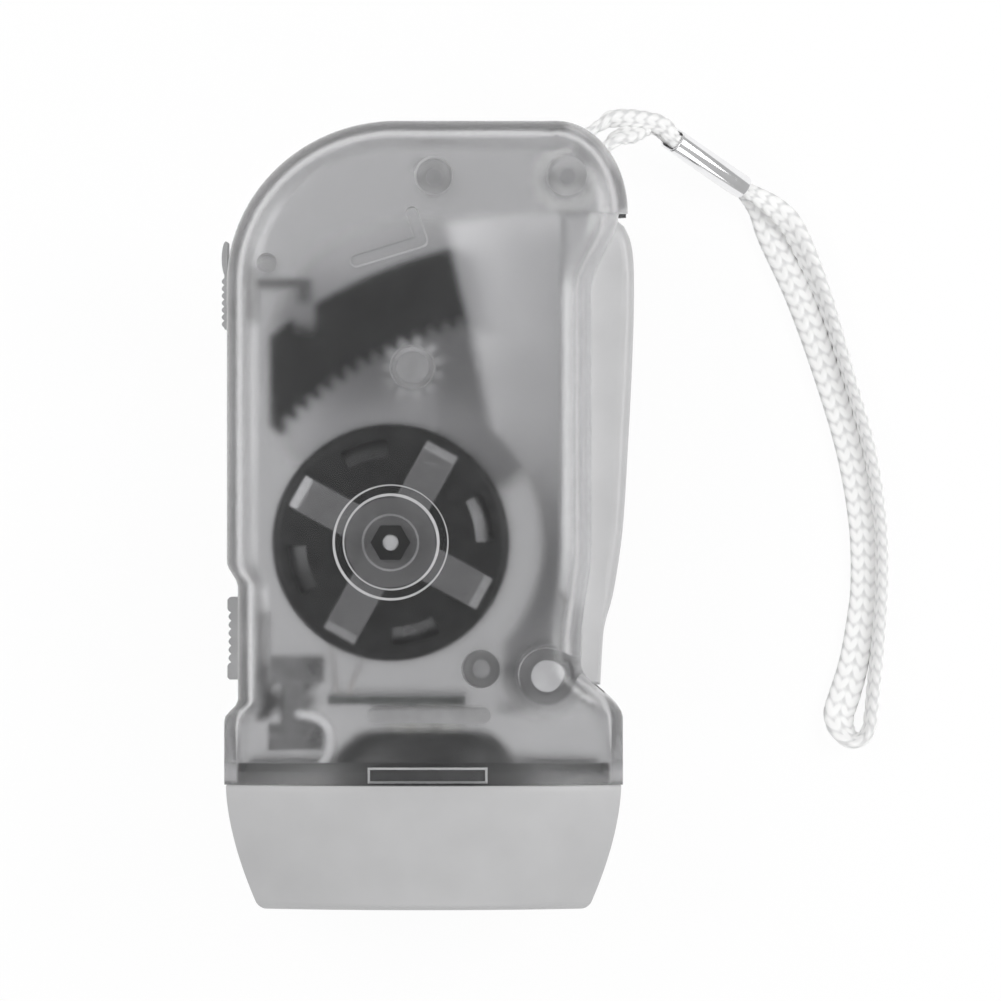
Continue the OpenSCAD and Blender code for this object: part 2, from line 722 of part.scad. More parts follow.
// smooth path through hand placed points
function bend(a, b, c, d, t) = 0.5 * (2 * b + (c - a) * t + (2 * a - 5 * b + 4 * c - d) * t * t
    + (3 * b - a - 3 * c + d) * t * t * t);
function smooth_path(p, k) = concat(
    [for (i = [0 : len(p) - 2]) for (j = [0 : k - 1])
        bend(p[max(0, i - 1)], p[i], p[i + 1], p[min(len(p) - 1, i + 2)], j / k)],
    [p[len(p) - 1]]);

function spring_point(a) = [
    pivot[0] + spring_r * cos(a),
    pivot[1] + spring_r * sin(a),
    spring_z + spring_pitch * (a - 270) / 360];
spring_a1 = 270 + 90 + 360 * spring_turns;
spring_path = concat(
    [[pivot[0] - 6.37, pivot[1] - spring_r, spring_z], [pivot[0] - 2, pivot[1] - spring_r, spring_z]],
    [for (a = [270 : 30 : spring_a1]) spring_point(a)],
    [[pivot[0] + spring_r, pivot[1] + 3, spring_point(spring_a1)[2]],
        [pivot[0] + spring_r, pivot[1] + 7.4, spring_point(spring_a1)[2]]]);
echo(spring_gap = spring_pitch - spring_d);

module return_spring() {
    color([0.66, 0.67, 0.68])
        tube(spring_path, spring_d / 2, 6);
}

module idler_gear() {
    color([0.84, 0.84, 0.82])
        difference() {
            union() {
                translate([idler[0], idler[1], wheel_z0])
                    linear_extrude(wheel_z1 - wheel_z0)
                        polygon(gear_points(spin_m, wheel_n, 0.85, 1.15, spin_dir));
                post(idler, 2.8, wheel_z0 - 0.2, web_z1 - 0.6);
                post(idler, 6, wheel_z0, wheel_z1 + 1);
                translate([idler[0], idler[1], web_z1 - 0.6])
                    linear_extrude(sector_t + 1.2)
                        polygon(gear_points(drive_m, pinion_n, 0.8, 1.15, drive_dir));
            }
            post(idler, axle_r + run_fit, 0, case_t);
        }
}

module idler_axle() {
    color([0.78, 0.79, 0.8])
        union() {
            post(idler, axle_r, 1, front_in - 2.1);
            post(idler, axle_head_r, idler_top + 0.25, front_in - 2.1);
        }
}

module idler_washer() {
    color([0.62, 0.63, 0.64])
        difference() {
            post(idler, 2.6, wheel_z0 - 0.55, wheel_z0 - 0.25);
            post(idler, axle_r + seat_fit, 0, seam);
        }
}

module flywheel() {
    color([0.22, 0.22, 0.23])
        difference() {
            union() {
                post(fly, fly_r, disc_z0, fly_z1);
                difference() {
                    post(fly, fly_r, fly_z0, fly_z1);
                    post(fly, magnet_out + seat_fit, fly_z0 - 1, disc_z0);
                }
                post(fly, 3.2, cap_z1 + 0.4, fly_z1);
            }
            post(fly, shaft_r + seat_fit, 0, case_t);
            for (a = [14.5, 106, 196, 285])
                translate([fly[0], fly[1], fly_z1 - 0.8])
                    linear_extrude(2)
                        intersection() {
                            difference() {
                                circle(r = fly_r - 2.2);
                                circle(r = fly_r - 4.6);
                            }
                            rotate(a - 15)
                                polygon([[0, 0], [30, 0], 30 * [cos(30), sin(30)]]);
                        }
        }
}

module clutch_arms() {
    color([0.62, 0.63, 0.64])
        difference() {
            union() {
                post(fly, 6, fly_z1, arms_z1);
                for (a = [61, 151])
                    translate([fly[0], fly[1], fly_z1])
                        rotate([0, 0, a])
                            translate([-fly_r + 1.6, -arm_w / 2, 0])
                                cube([2 * fly_r - 3.2, arm_w, arms_z1 - fly_z1]);
            }
            post(fly, shaft_r + seat_fit, 0, case_t);
        }
}

module ring_magnet() {
    color([0.28, 0.27, 0.27])
        difference() {
            post(fly, magnet_out, fly_z0, disc_z0 - 0.02);
            post(fly, magnet_in, fly_z0 - 1, disc_z0 + 1);
        }
}

module fly_shaft() {
    color([0.82, 0.83, 0.84])
        post(fly, shaft_r, 1.1, front_in + 0.6);
}

module fly_pinion() {
    color([0.8, 0.7, 0.42])
        difference() {
            translate([fly[0], fly[1], spin_z0])
                linear_extrude(spin_z1 - spin_z0)
                    polygon(gear_points(spin_m, spin_n, 0.85, 1.15, spin_dir + 180 + 180 / spin_n));
            post(fly, shaft_r + seat_fit, 0, case_t);
        }
}

module front_bush() {
    color([0.14, 0.14, 0.15])
        difference() {
            translate([fly[0], fly[1], front_in - 2])
                cylinder(r = 2.62, h = 2.9, $fn = 6);
            post(fly, shaft_r + run_fit, 0, case_t);
        }
}

module rear_bush() {
    color([0.72, 0.6, 0.38])
        difference() {
            post(fly, 2.6, 1, wall + 1);
            post(fly, shaft_r + run_fit, 0, case_t);
        }
}

// four claws of a stator plate
module claws(a0, z0, z1) {
    for (a = [a0 : 90 : a0 + 270])
        translate([fly[0], fly[1], z0])
            linear_extrude(z1 - z0)
                intersection() {
                    difference() {
                        circle(r = claw_out);
                        circle(r = claw_out - 1);
                    }
                    rotate(a - 14)
                        polygon([[0, 0], [20, 0], 20 * [cos(28), sin(28)]]);
                }
}

module stator_plate() {
    color([0.55, 0.56, 0.58])
        difference() {
            union() {
                post(fly, claw_out, stator_z0, stator_z1);
                for (a = stator_dirs) {
                    post(stator_post(a), 2.3, stator_z0, stator_z1);
                    translate([fly[0], fly[1], stator_z0])
                        rotate([0, 0, a])
                            translate([0, -2.3, 0])
                                cube([stator_post_r, 4.6, stator_z1 - stator_z0]);
                }
                claws(20, stator_z1 - 0.4, cap_z0 - 0.4);
            }
            post(fly, 1.7, 0, seam);
            for (a = stator_dirs)
                post(stator_post(a), 0.8, 0, seam);
        }
}

module stator_cap() {
    color([0.55, 0.56, 0.58])
        difference() {
            union() {
                post(fly, claw_out, cap_z0, cap_z1);
                claws(65, coil_z0 - 0.6, cap_z0 + 0.4);
            }
            post(fly, 1.7, 0, case_t);
        }
}

module stator_screws() {
    color([0.7, 0.71, 0.72])
        for (a = stator_dirs) {
            post(stator_post(a), 0.7, wall + 2.2, stator_z1 + 0.02);
            difference() {
                post(stator_post(a), 1.5, stator_z1 + 0.02, stator_z1 + 1.1);
                slab([stator_post(a)[0] - 2, stator_post(a)[1] - 0.2, stator_z1 + 0.6],
                    [stator_post(a)[0] + 2, stator_post(a)[1] + 0.2, stator_z1 + 2]);
            }
        }
}

module coil_bobbin() {
    color([0.9, 0.89, 0.86])
        difference() {
            union() {
                post(fly, 3, stator_z1, cap_z0);
                post(fly, claw_out - 1.15, stator_z1, coil_z0);
                post(fly, claw_out - 1.15, coil_z1, cap_z0);
            }
            post(fly, 1.7, 0, case_t);
        }
}

module coil_core() {
    color([0.66, 0.4, 0.22])
        difference() {
            post(fly, core_r, coil_z0 + 0.02, coil_z1 - 0.02);
            post(fly, 3 + seat_fit, 0, case_t);
        }
}

// outer layer of the coil, one unbroken wire
coil_path = concat(
    [fly3(-coil_d * 1.2, coil_z0 + 0.4)],
    [for (k = [0 : 24 * coil_turns]) [
        fly[0] + wind_r * cos(15 * k),
        fly[1] + wind_r * sin(15 * k),
        coil_z0 + 0.4 + coil_pitch * k / 24]],
    [fly3(coil_d * 1.2, coil_z0 + 0.4 + coil_pitch * coil_turns)]);
function fly3(dy, z) = [fly[0] + wind_r, fly[1] + dy, z];
echo(coil_gap = coil_pitch - coil_d);

module coil_winding() {
    color([0.72, 0.43, 0.22])
        tube(coil_path, coil_d / 2, 6);
}

// two fine leads from the coil to the lamp board
function from_fly(x, y, z) = [fly[0] + x, fly[1] + y, stator_z1 + z];
function to_board(x, y, z) = [board_x0 + x, board_y + board_t + y, seam + z];
lead_a = [from_fly(-0.77, -9.21, 0.26), from_fly(-1.77, -10.16, 0.5), from_fly(-2.47, -11.76, 1),
    from_fly(-3.57, -14.16, 1.6), from_fly(-4.2, -15.9, 1.9), to_board(3.9, 3.2, 2.5), to_board(3.2, 1.6, 6.2),
    to_board(2.8, 0.25, 6.8)];
lead_b = [from_fly(-6.91, -6.22, 0.26), from_fly(-7.77, -8.56, 0.6), from_fly(-8.07, -11.56, 1.2),
    from_fly(-7.97, -14.56, 1.8), to_board(0.8, 2.6, 2.5), to_board(1, 1, 5.6), to_board(1.2, 0.25, 6.2)];
module coil_leads() {
    color([0.7, 0.42, 0.22]) {
        tube(smooth_path(lead_a, 3), 0.25, 6);
        tube(smooth_path(lead_b, 3), 0.25, 6);
    }
}

// thumb grip lines across a slider
module ribs(x0, x1, y0, y1, z0, z1, n) {
    step = (y1 - y0) / n;
    for (k = [0 : n - 1])
        slab([x0, y0 + step * (k + 0.25), z0], [x1, y0 + step * (k + 0.75), z1]);
}

module lock_button() {
    color([0.62, 0.63, 0.64])
        union() {
            slab([-hw - 0.55, lock_y0, seam - 5.5], [-hw - 0.1, lock_y1 - 0.8, seam + 5.5]);
            ribs(-hw - 0.85, -hw - 0.5, lock_y0, lock_y0 + 6.6, seam - 5, seam + 5, 6);
            slab([-hw - 0.85, lock_y1 - 4.6, seam - 5], [-hw - 0.5, lock_y1 - 1.6, seam + 5]);
            slab([-hw - 0.3, stem_y0, seam - 2.7], [-hw + wall + 0.25, stem_y1, seam + 2.7]);
        }
}

module lock_hook() {
    color([0.45, 0.46, 0.47])
        union() {
            slab([-hw + wall + 0.25, stem_y0 - 3, seam - 3.6], [-hw + wall + 1.2, stem_y1 + 0.3, seam + 3.6]);
            slab([-hw + wall + 1, hook_y + 2, web_z1 + 0.3], [hook_x, hook_y + 3.2, rack_z1]);
            slab([hook_x - hook_w, hook_y, web_z1 + 0.3], [hook_x, hook_y + 3, rack_z1]);
        }
}

module switch_button() {
    color([0.6, 0.61, 0.62])
        union() {
            slab([floor_x - 0.9, knob_y0, seam - 5], [floor_x - 0.12, knob_y1, seam + 5]);
            ribs(floor_x - knob_out, floor_x - 0.8, knob_y0 + 0.3, knob_y1 - 0.3, seam - 4.6, seam + 4.6, 6);
            slab([floor_x - 0.4, -17.8, seam - 2.2], [carriage_x, -13.8, seam + 2.2]);
        }
}

module switch_carriage() {
    color([0.5, 0.51, 0.52])
        union() {
            slab([carriage_x, -26.8, seam - 3.2], [carriage_x + 1.1, -12.6, seam + 3.2]);
            slab([carriage_x + 0.8, -23.1, seam - 1.6], [carriage_x + 2, -22.3, seam + 1.6]);
            slab([carriage_x + 0.8, -26.7, seam - 1.6], [carriage_x + 2, -25.9, seam + 1.6]);
        }
}

module switch_peg() {
    color([0.16, 0.16, 0.17])
        slab([carriage_x + 1.2, -25.85, seam - 1.4], [sw_x0 - 0.1, -23.15, seam + 1.4]);
}

module switch_body() {
    color([0.2, 0.2, 0.21])
        slab([sw_x0, sw_y0, seam - 5], [sw_x1, sw_y1, sw_z1]);
}

module switch_frame() {
    color([0.56, 0.57, 0.58])
        difference() {
            union() {
                slab([sw_x0 + 0.4, sw_y0, sw_z1], [sw_x1 - 0.3, sw_y1, sw_z1 + 0.8]);
                slab([sw_x0 - 1.6, -22.1, sw_z1], [sw_x1 + 2.3, -18.4, sw_z1 + 0.8]);
                slab([sw_x0 - 1.6, -30.8, sw_z1], [sw_x1 + 2.3, -27.2, sw_z1 + 0.8]);
            }
            for (p = sw_posts)
                post(p, 0.55, sw_z1 - 1, sw_z1 + 2);
        }
}

module switch_screws() {
    color([0.74, 0.75, 0.76])
        for (p = sw_posts) {
            post(p, 0.5, seam + 0.2, sw_z1 + 0.82);
            difference() {
                post(p, 1, sw_z1 + 0.82, sw_z1 + 1.7);
                slab([p[0] - 2, p[1] - 0.15, sw_z1 + 1.35], [p[0] + 2, p[1] + 0.15, sw_z1 + 3]);
            }
        }
}

module switch_terminals() {
    color([0.8, 0.81, 0.8])
        for (y = [-22.6, -24.6, -26.6])
            slab([sw_x1, y - 0.5, seam - 2], [sw_x1 + 1.1, y + 0.5, seam - 1.5]);
}

// white insulated wire from the top of the switch down into the head
function by_switch(x, y, z) = [sw_x1 + x, y, sw_z1 + 0.8 + z];
lamp_path = [by_switch(-0.9, -26.1, 0.01), by_switch(-0.9, -26.1, 0.5), by_switch(-0.9, -26.1, 1), by_switch(-0.2, -26.15, 2),
    by_switch(1.3, -26.5, 2.3), by_switch(2.7, -27.6, 2.5), by_switch(3.35, -29.6, 2.5), by_switch(2.9, -31.8, 2.4),
    by_switch(1.5, -33.6, 2.2), by_switch(0.2, -35.2, 1.6), by_switch(-0.4, -37, 0.6), by_switch(-0.6, -39, -0.6)];
module lamp_wire() {
    color([0.95, 0.95, 0.94])
        tube(smooth_path(lamp_path, 3), 0.65, 8);
}

// crimped sleeve: start point, direction and the line its two strands stack along
hang = [boss_b[0], boss_b[1], 0];
sleeve_a = hang + [14.2, 5.7, 9.4];
sleeve_dir = unit([10.15, -6.75, -6.2]);
sleeve_up = unit([0, 0, 1] - sleeve_dir[2] * sleeve_dir);
sleeve_side = cross(sleeve_up, sleeve_dir);
lane = cord_d / 2 + 0.12;
function lane_at(d, s) = sleeve_a + d * sleeve_dir + s * lane * sleeve_up;

module sleeve_plan(grow) {
    for (s = [-1, 1])
        translate([0, s * lane])
            circle(r = cord_d / 2 + grow);
    square([cord_d + 2 * grow, 2 * lane], center = true);
}

module lanyard_sleeve() {
    color([0.85, 0.86, 0.87])
        multmatrix([
            [sleeve_side[0], sleeve_up[0], sleeve_dir[0], sleeve_a[0]],
            [sleeve_side[1], sleeve_up[1], sleeve_dir[1], sleeve_a[1]],
            [sleeve_side[2], sleeve_up[2], sleeve_dir[2], sleeve_a[2]]])
            linear_extrude(sleeve_len)
                difference() {
                    sleeve_plan(0.12 + sleeve_t);
                    sleeve_plan(0.12);
                }
}

// short loop round the corner post
loop_r = post_r + cord_d / 2 + 0.2;
function round_b(a) = [boss_b[0] + loop_r * cos(a), boss_b[1] + loop_r * sin(a), seam];
eye_path = concat(
    [lane_at(5.5, 1), lane_at(2.5, 1), lane_at(0, 1), lane_at(-3.2, 1) + [0, 0.6, 0.2]],
    [hang + [6.6, 8.2, seam - 1.2], hang + [3.8, 6.8, seam - 0.1]],
    [for (a = [115 : 30 : 355]) round_b(a)],
    [hang + [5, 3.6, seam], hang + [6.6, 5.4, seam - 0.6], hang + [8.8, 6.2, seam - 2.6]],
    [lane_at(-2.8, -1) + [0, 0.2, 0], lane_at(0, -1), lane_at(2.5, -1), lane_at(5.5, -1)]);
module lanyard_eye_loop() {
    color([0.93, 0.93, 0.92])
        tube(smooth_path(eye_path, 2), cord_d / 2, 8);
}

// long wrist loop lying on the ground
wrist_lay = [
    [25.8, -3.2, 1.5], [28.2, -6.8, 1.1], [32, -14.8, 1.1], [35.6, -24.8, 1.1], [38.8, -35.6, 1.1],
    [40.5, -45.5, 1.1], [40.8, -53.8, 1.1], [40.3, -59.4, 1.1], [39.4, -65, 1.1],
    [38.2, -69.2, 1.1], [37.6, -72.5, 1.1], [38.4, -75.2, 1.1], [40.3, -76.4, 1.1],
    [42.1, -75.2, 1.1], [42.7, -72.5, 1.1], [43, -69.1, 1.1], [43.4, -65, 1.1], [43.8, -59.4, 1.1],
    [44.1, -53.8, 1.1], [43.8, -45.5, 1.1], [42.2, -35.6, 1.1], [39, -25, 1.1], [35.3, -15, 1.1],
    [31, -6.8, 1.4], [28.2, -3.4, 3]];
wrist_path = concat(
    [lane_at(6.5, -1), lane_at(9, -1), lane_at(12.4, -1)],
    [for (p = wrist_lay) hang + p],
    [lane_at(12.8, 1), lane_at(9, 1), lane_at(6.5, 1)]);
module lanyard_wrist_loop() {
    color([0.93, 0.93, 0.92])
        tube(smooth_path(wrist_path, 2), cord_d / 2, 8);
}

front_shell();
rear_shell();
case_screws();
head_cap();
lens();
reflector();
led_board();
leds();
lever();
sector_rack();
rack_rivets();
lever_pin();
return_spring();
idler_gear();
idler_axle();
idler_washer();
flywheel();
clutch_arms();
ring_magnet();
fly_shaft();
fly_pinion();
front_bush();
rear_bush();
stator_plate();
stator_cap();
stator_screws();
coil_bobbin();
coil_core();
coil_winding();
coil_leads();
lock_button();
lock_hook();
switch_button();
switch_carriage();
switch_peg();
switch_body();
switch_frame();
switch_screws();
switch_terminals();
lamp_wire();
lanyard_sleeve();
lanyard_eye_loop();
lanyard_wrist_loop();
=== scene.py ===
"""Looks of a hand press dynamo flashlight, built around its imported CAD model.

The shapes are written in millimetres in the CAD frame: X across, Y from the lamp to the
lanyard end, Z up from the surface that the flashlight lies on.
"""
import json
from math import acos, atan2, copysign, cos, degrees, dist, hypot, pi, radians, sin, sqrt, tau

import bmesh
import bpy
import numpy as np
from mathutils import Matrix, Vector

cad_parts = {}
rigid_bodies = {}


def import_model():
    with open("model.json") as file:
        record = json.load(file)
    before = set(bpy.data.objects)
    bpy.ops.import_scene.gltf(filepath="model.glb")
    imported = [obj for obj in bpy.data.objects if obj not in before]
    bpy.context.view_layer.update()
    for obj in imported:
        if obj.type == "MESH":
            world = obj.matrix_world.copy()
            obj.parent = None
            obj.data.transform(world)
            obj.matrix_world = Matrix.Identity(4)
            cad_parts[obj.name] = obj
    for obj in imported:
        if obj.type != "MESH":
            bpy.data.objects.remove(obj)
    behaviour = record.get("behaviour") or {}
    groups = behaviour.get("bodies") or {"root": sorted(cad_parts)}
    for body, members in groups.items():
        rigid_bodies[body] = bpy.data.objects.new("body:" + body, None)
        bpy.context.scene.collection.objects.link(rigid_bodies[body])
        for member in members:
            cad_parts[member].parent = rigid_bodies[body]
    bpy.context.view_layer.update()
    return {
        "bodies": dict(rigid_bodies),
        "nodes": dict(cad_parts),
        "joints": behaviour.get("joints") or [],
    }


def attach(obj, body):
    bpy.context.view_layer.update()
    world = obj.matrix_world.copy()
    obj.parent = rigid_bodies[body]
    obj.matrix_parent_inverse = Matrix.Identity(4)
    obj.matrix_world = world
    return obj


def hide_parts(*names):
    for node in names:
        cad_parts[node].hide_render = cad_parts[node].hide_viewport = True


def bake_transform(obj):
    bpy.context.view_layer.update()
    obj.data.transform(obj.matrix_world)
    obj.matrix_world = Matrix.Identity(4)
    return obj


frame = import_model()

MM = 0.001
nodes = frame["nodes"]
joints = {j["name"]: j for j in frame["joints"]}
kept = set(nodes.values()) | set(frame["bodies"].values())
for spare in [o for o in bpy.data.objects if o not in kept]:
    bpy.data.objects.remove(spare)
scene = bpy.context.scene
scene.view_settings.view_transform = "Standard"


def joint_place(name):
    """A joint's place across and along the part, in mm."""
    return np.array(joints[name]["pos_m"][:2]) / MM


# sizes of the case, as in the CAD model
CASE_T = 34.0
HALF_W = 26.45
WALL = 2.0
EDGE_R = 5.0
TOP_Y = 52.2
SEAT_IN = 4.8
THUMB_IN = 1.45
SEAM = CASE_T / 2
FRONT_IN = CASE_T - WALL
JOINT_Y = -35.4
HEAD_LEN = 16.5
LENS_Y = JOINT_Y - HEAD_LEN
HEAD_TAPER = 0.165
HEAD_H = SEAM - 0.5
HEAD_X = -0.5
CROWN = 7.0
LEFT_A, LEFT_B = 22.4, 21.4
LEFT_CX, LEFT_CY = LEFT_A - HALF_W, TOP_Y - LEFT_B
RIGHT_A, RIGHT_B = 9.5, 12.2
RIGHT_CX, RIGHT_CY = HALF_W - RIGHT_A, TOP_Y - RIGHT_B
POST_R = 2.35
PIVOT = joint_place("lever_squeeze")
IDLER = joint_place("idler_spin")
FLY = joint_place("flywheel_spin")
BOSS_A = np.array([0.9, TOP_Y - 7.4])
BOSS_B = np.array([RIGHT_CX + 1.45, TOP_Y - 7.4])
BOSS_C = PIVOT + np.array([-8.57, 0.9])
SEAM_GAP = 0.04


# mesh helpers

def add_mesh(name, points, faces, sharp=35):
    """New mesh object from points in mm, smooth where faces meet at less than sharp degrees."""
    mesh = bpy.data.meshes.new(name)
    mesh.from_pydata([tuple(float(c) * MM for c in p) for p in points], [], faces)
    obj = bpy.data.objects.new(name, mesh)
    scene.collection.objects.link(obj)
    turn_outwards(mesh)
    soften(obj, sharp)
    return obj


def turn_outwards(mesh):
    bm = bmesh.new()
    bm.from_mesh(mesh)
    bmesh.ops.recalc_face_normals(bm, faces=bm.faces)
    bm.to_mesh(mesh)
    bm.free()


def soften(obj, sharp=35):
    obj.data.shade_smooth()
    obj.data.set_sharp_from_angle(angle=radians(sharp))


def even_shading(obj):
    """Let large faces rule the shading, so that flat faces look flat."""
    step = obj.modifiers.new("shading", "WEIGHTED_NORMAL")
    step.keep_sharp = True


def settle(obj):
    """Turn an object's modifiers into plain mesh."""
    seen = obj.evaluated_get(bpy.context.evaluated_depsgraph_get())
    done = bpy.data.meshes.new_from_object(seen)
    old = obj.data
    obj.modifiers.clear()
    obj.data = done
    bpy.data.meshes.remove(old)


def combine(base, tools, operation):
    """Join tools to base, or cut them out of it."""
    for tool in tools:
        step = base.modifiers.new("combine", "BOOLEAN")
        step.operation = operation
        step.solver = "MANIFOLD"
        step.object = tool
        settle(base)
        bpy.data.objects.remove(tool)
    return base


def clean(obj):
    """Remove the slivers that joining leaves on flat faces."""
    bm = bmesh.new()
    bm.from_mesh(obj.data)
    bmesh.ops.remove_doubles(bm, verts=bm.verts, dist=0.002 * MM)
    bmesh.ops.dissolve_degenerate(bm, edges=bm.edges, dist=0.002 * MM)
    bmesh.ops.dissolve_limit(bm, angle_limit=radians(0.4), verts=bm.verts, edges=bm.edges)
    bm.to_mesh(obj.data)
    bm.free()


def bevel_node(name, width, angle=40):
    """Break the sharp edges of a CAD node with a modifier."""
    step = nodes[name].modifiers.new("edges", "BEVEL")
    step.width = width * MM
    step.segments = 2
    step.limit_method = "ANGLE"
    step.angle_limit = radians(angle)
    step.harden_normals = False


def circle(center, r, count=48):
    turns = [tau * k / count for k in range(count)]
    return [(center[0] + r * cos(a), center[1] + r * sin(a)) for a in turns]


def polar(center, r, a):
    """Point at radius r and angle a, in degrees, round a center."""
    return (center[0] + r * cos(radians(a)), center[1] + r * sin(radians(a)))


def at_height(outline, z):
    return [(x, y, z) for x, y in outline]


def shifted(outline, d):
    """Outline moved inwards by d, corner by corner."""
    p = np.array(outline, float)
    before = p - np.roll(p, 1, 0)
    after = np.roll(p, -1, 0) - p
    before /= np.linalg.norm(before, axis=1)[:, None] + 1e-12
    after /= np.linalg.norm(after, axis=1)[:, None] + 1e-12
    area = np.sum(p[:, 0] * np.roll(p[:, 1], -1) - np.roll(p[:, 0], -1) * p[:, 1])
    side = 1.0 if area > 0 else -1.0
    n1 = side * np.stack([-before[:, 1], before[:, 0]], 1)
    n2 = side * np.stack([-after[:, 1], after[:, 0]], 1)
    half = n1 + n2
    scale = np.clip(2 / (np.sum(half * half, 1) + 1e-9), 0, 2.5)
    return p + d * half * scale[:, None]


def prism(name, outline, z0, z1, edge=0.0, steps=3):
    """Upright block over an outline, with rounded upper and lower edges."""
    rows = [(0, z0), (0, z1)]
    if edge:
        turns = [pi / 2 * k / steps for k in range(steps + 1)]
        rows = [(edge * (1 - sin(a)), z0 + edge * (1 - cos(a))) for a in turns]
        rows += [(edge * (1 - cos(a)), z1 - edge * (1 - sin(a))) for a in turns]
    return loft(name, [at_height(shifted(outline, d) if d else outline, z) for d, z in rows])


def loft(name, rings, closed=False, sharp=35):
    """Skin through closed rings of equal length, with flat ends unless the last meets the first."""
    n, m = len(rings), len(rings[0])
    faces = []
    for i in range(n if closed else n - 1):
        k = (i + 1) % n
        for j in range(m):
            l = (j + 1) % m
            faces.append((i * m + j, i * m + l, k * m + l, k * m + j))
    if not closed:
        faces.append(tuple(range(m - 1, -1, -1)))
        faces.append(tuple((n - 1) * m + j for j in range(m)))
    return add_mesh(name, [p for ring in rings for p in ring], faces, sharp)


def post(name, center, r, z0, z1, count=48):
    """Upright cylinder."""
    outline = circle(center, r, count)
    return loft(name, [at_height(outline, z0), at_height(outline, z1)])


def block(name, low, high):
    outline = [(low[0], low[1]), (high[0], low[1]), (high[0], high[1]), (low[0], high[1])]
    return prism(name, outline, low[2], high[2])


def bend(points, per):
    """Smooth path through given points."""
    p = np.array(points, float)
    out = []
    for i in range(len(p) - 1):
        a, b, c, d = p[max(0, i - 1)], p[i], p[i + 1], p[min(len(p) - 1, i + 2)]
        for t in np.arange(per) / per:
            out.append(0.5 * (2 * b + (c - a) * t + (2 * a - 5 * b + 4 * c - d) * t * t
                              + (3 * b - a - 3 * c + d) * t ** 3))
    out.append(p[-1])
    return np.array(out)


def mix(a, b, t):
    return a + (b - a) * t


def ease(t):
    c = min(1.0, max(0.0, t))
    return c * c * (3 - 2 * c)


def unit(v):
    v = np.array(v, float)
    return v / np.linalg.norm(v)


def tube(name, path, r, sides=12):
    """Round wire along a path, with closed ends."""
    p = np.array(path, float)
    along = np.gradient(p, axis=0)
    along /= np.linalg.norm(along, axis=1)[:, None]
    side = np.cross(along[0], (0.3, 0.2, 1.0))
    rings = []
    for q, t in zip(p, along):
        side = unit(side - t * np.dot(side, t))
        up = np.cross(t, side)
        rings.append([q + r * (cos(a) * side + sin(a) * up)
                      for a in np.arange(sides) * tau / sides])
    return loft(name, rings, sharp=60)


def dress(obj, looks):
    """Give a mesh these materials and no others."""
    obj.data.materials.clear()
    for look in looks:
        obj.data.materials.append(look)


def finish_piece(obj, body, slot, material, *replaced):
    """Dress a piece, tie it to its body and let it stand for CAD nodes."""
    wanted = material if isinstance(material, list) else [material]
    if list(obj.data.materials) != wanted:
        dress(obj, wanted)
    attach(obj, body)
    if replaced:
        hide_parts(*replaced)
    return obj


# material helpers

def connect(tree, value, socket):
    """Link a socket to another one, or set it to a plain value."""
    if isinstance(value, bpy.types.NodeSocket):
        tree.links.new(value, socket)
    else:
        socket.default_value = value


def add_node(tree, kind, *by_order, **by_name):
    """New shader node, with inputs given in order or by name. An underscore stands for a space."""
    node = tree.nodes.new("ShaderNode" + kind)
    for value, socket in zip(by_order, node.inputs):
        connect(tree, value, socket)
    for name, value in by_name.items():
        connect(tree, value, node.inputs[name.replace("_", " ")])
    return node


def start_material(name):
    material = bpy.data.materials.new(name)
    material.use_nodes = True
    material.node_tree.nodes.clear()
    return material, material.node_tree


def calc(tree, operation, *values):
    node = add_node(tree, "Math", *values)
    node.operation = operation
    return node.outputs["Value"]


def blended(tree, share, first, second):
    """The second shader by this share and the first by the rest."""
    return add_node(tree, "MixShader", share, first, second).outputs["Shader"]


def noise(tree, scale, detail=3.0, stretch=(1, 1, 1)):
    """Noise over the part's own space, with features about 1/scale metres wide."""
    place = add_node(tree, "TexCoord").outputs["Object"]
    mapped = add_node(tree, "Mapping", Vector=place, Scale=stretch).outputs["Vector"]
    return add_node(tree, "TexNoise", Vector=mapped, Scale=scale, Detail=detail).outputs["Fac"]


def ranged(tree, value, low, high, from_low=0.3, from_high=0.7):
    return add_node(tree, "MapRange", Value=value, From_Min=from_low, From_Max=from_high, To_Min=low,
                    To_Max=high).outputs["Result"]


def tinted(tree, value, dark, light):
    node = add_node(tree, "ValToRGB", Fac=value)
    for element, at, colour in zip(node.color_ramp.elements, (0.3, 0.7), (dark, light)):
        element.position = at
        element.color = (*colour, 1)
    return node.outputs["Color"]


def bumped(tree, value, depth, strength):
    return add_node(tree, "Bump", Distance=depth * MM, Strength=strength, Height=value).outputs["Normal"]


def levelness(tree):
    """How level a face lies: 0 where it stands upright, 1 where it lies flat."""
    normal = add_node(tree, "NewGeometry").outputs["Normal"]
    return calc(tree, "ABSOLUTE", add_node(tree, "SeparateXYZ", Vector=normal).outputs["Z"])


def shades(colour, spread):
    return [tuple(min(1, c * (1 + s * spread)) for c in colour) for s in (-1, 1)]


def solid(name, colour, rough, metal=0.0, mottle=0.05, cloud=350, grain=4000, depth=0.02,
          strength=0.4, stretch=(1, 1, 1), coat=0.0, milky=0.0):
    """Opaque material with uneven colour and gloss and a fine grain, or a milky one."""
    material, tree = start_material(name)
    patches = noise(tree, cloud, 4, stretch)
    fine = noise(tree, grain, 2, stretch)
    shader = add_node(tree, "BsdfPrincipled", Base_Color=tinted(tree, patches, *shades(colour, mottle)),
                      Roughness=ranged(tree, patches, rough * 0.85, rough * 1.15),
                      Normal=bumped(tree, fine, depth, strength), Metallic=metal, Coat_Weight=coat,
                      Transmission_Weight=milky)
    add_node(tree, "OutputMaterial", Surface=shader.outputs["BSDF"])
    return material


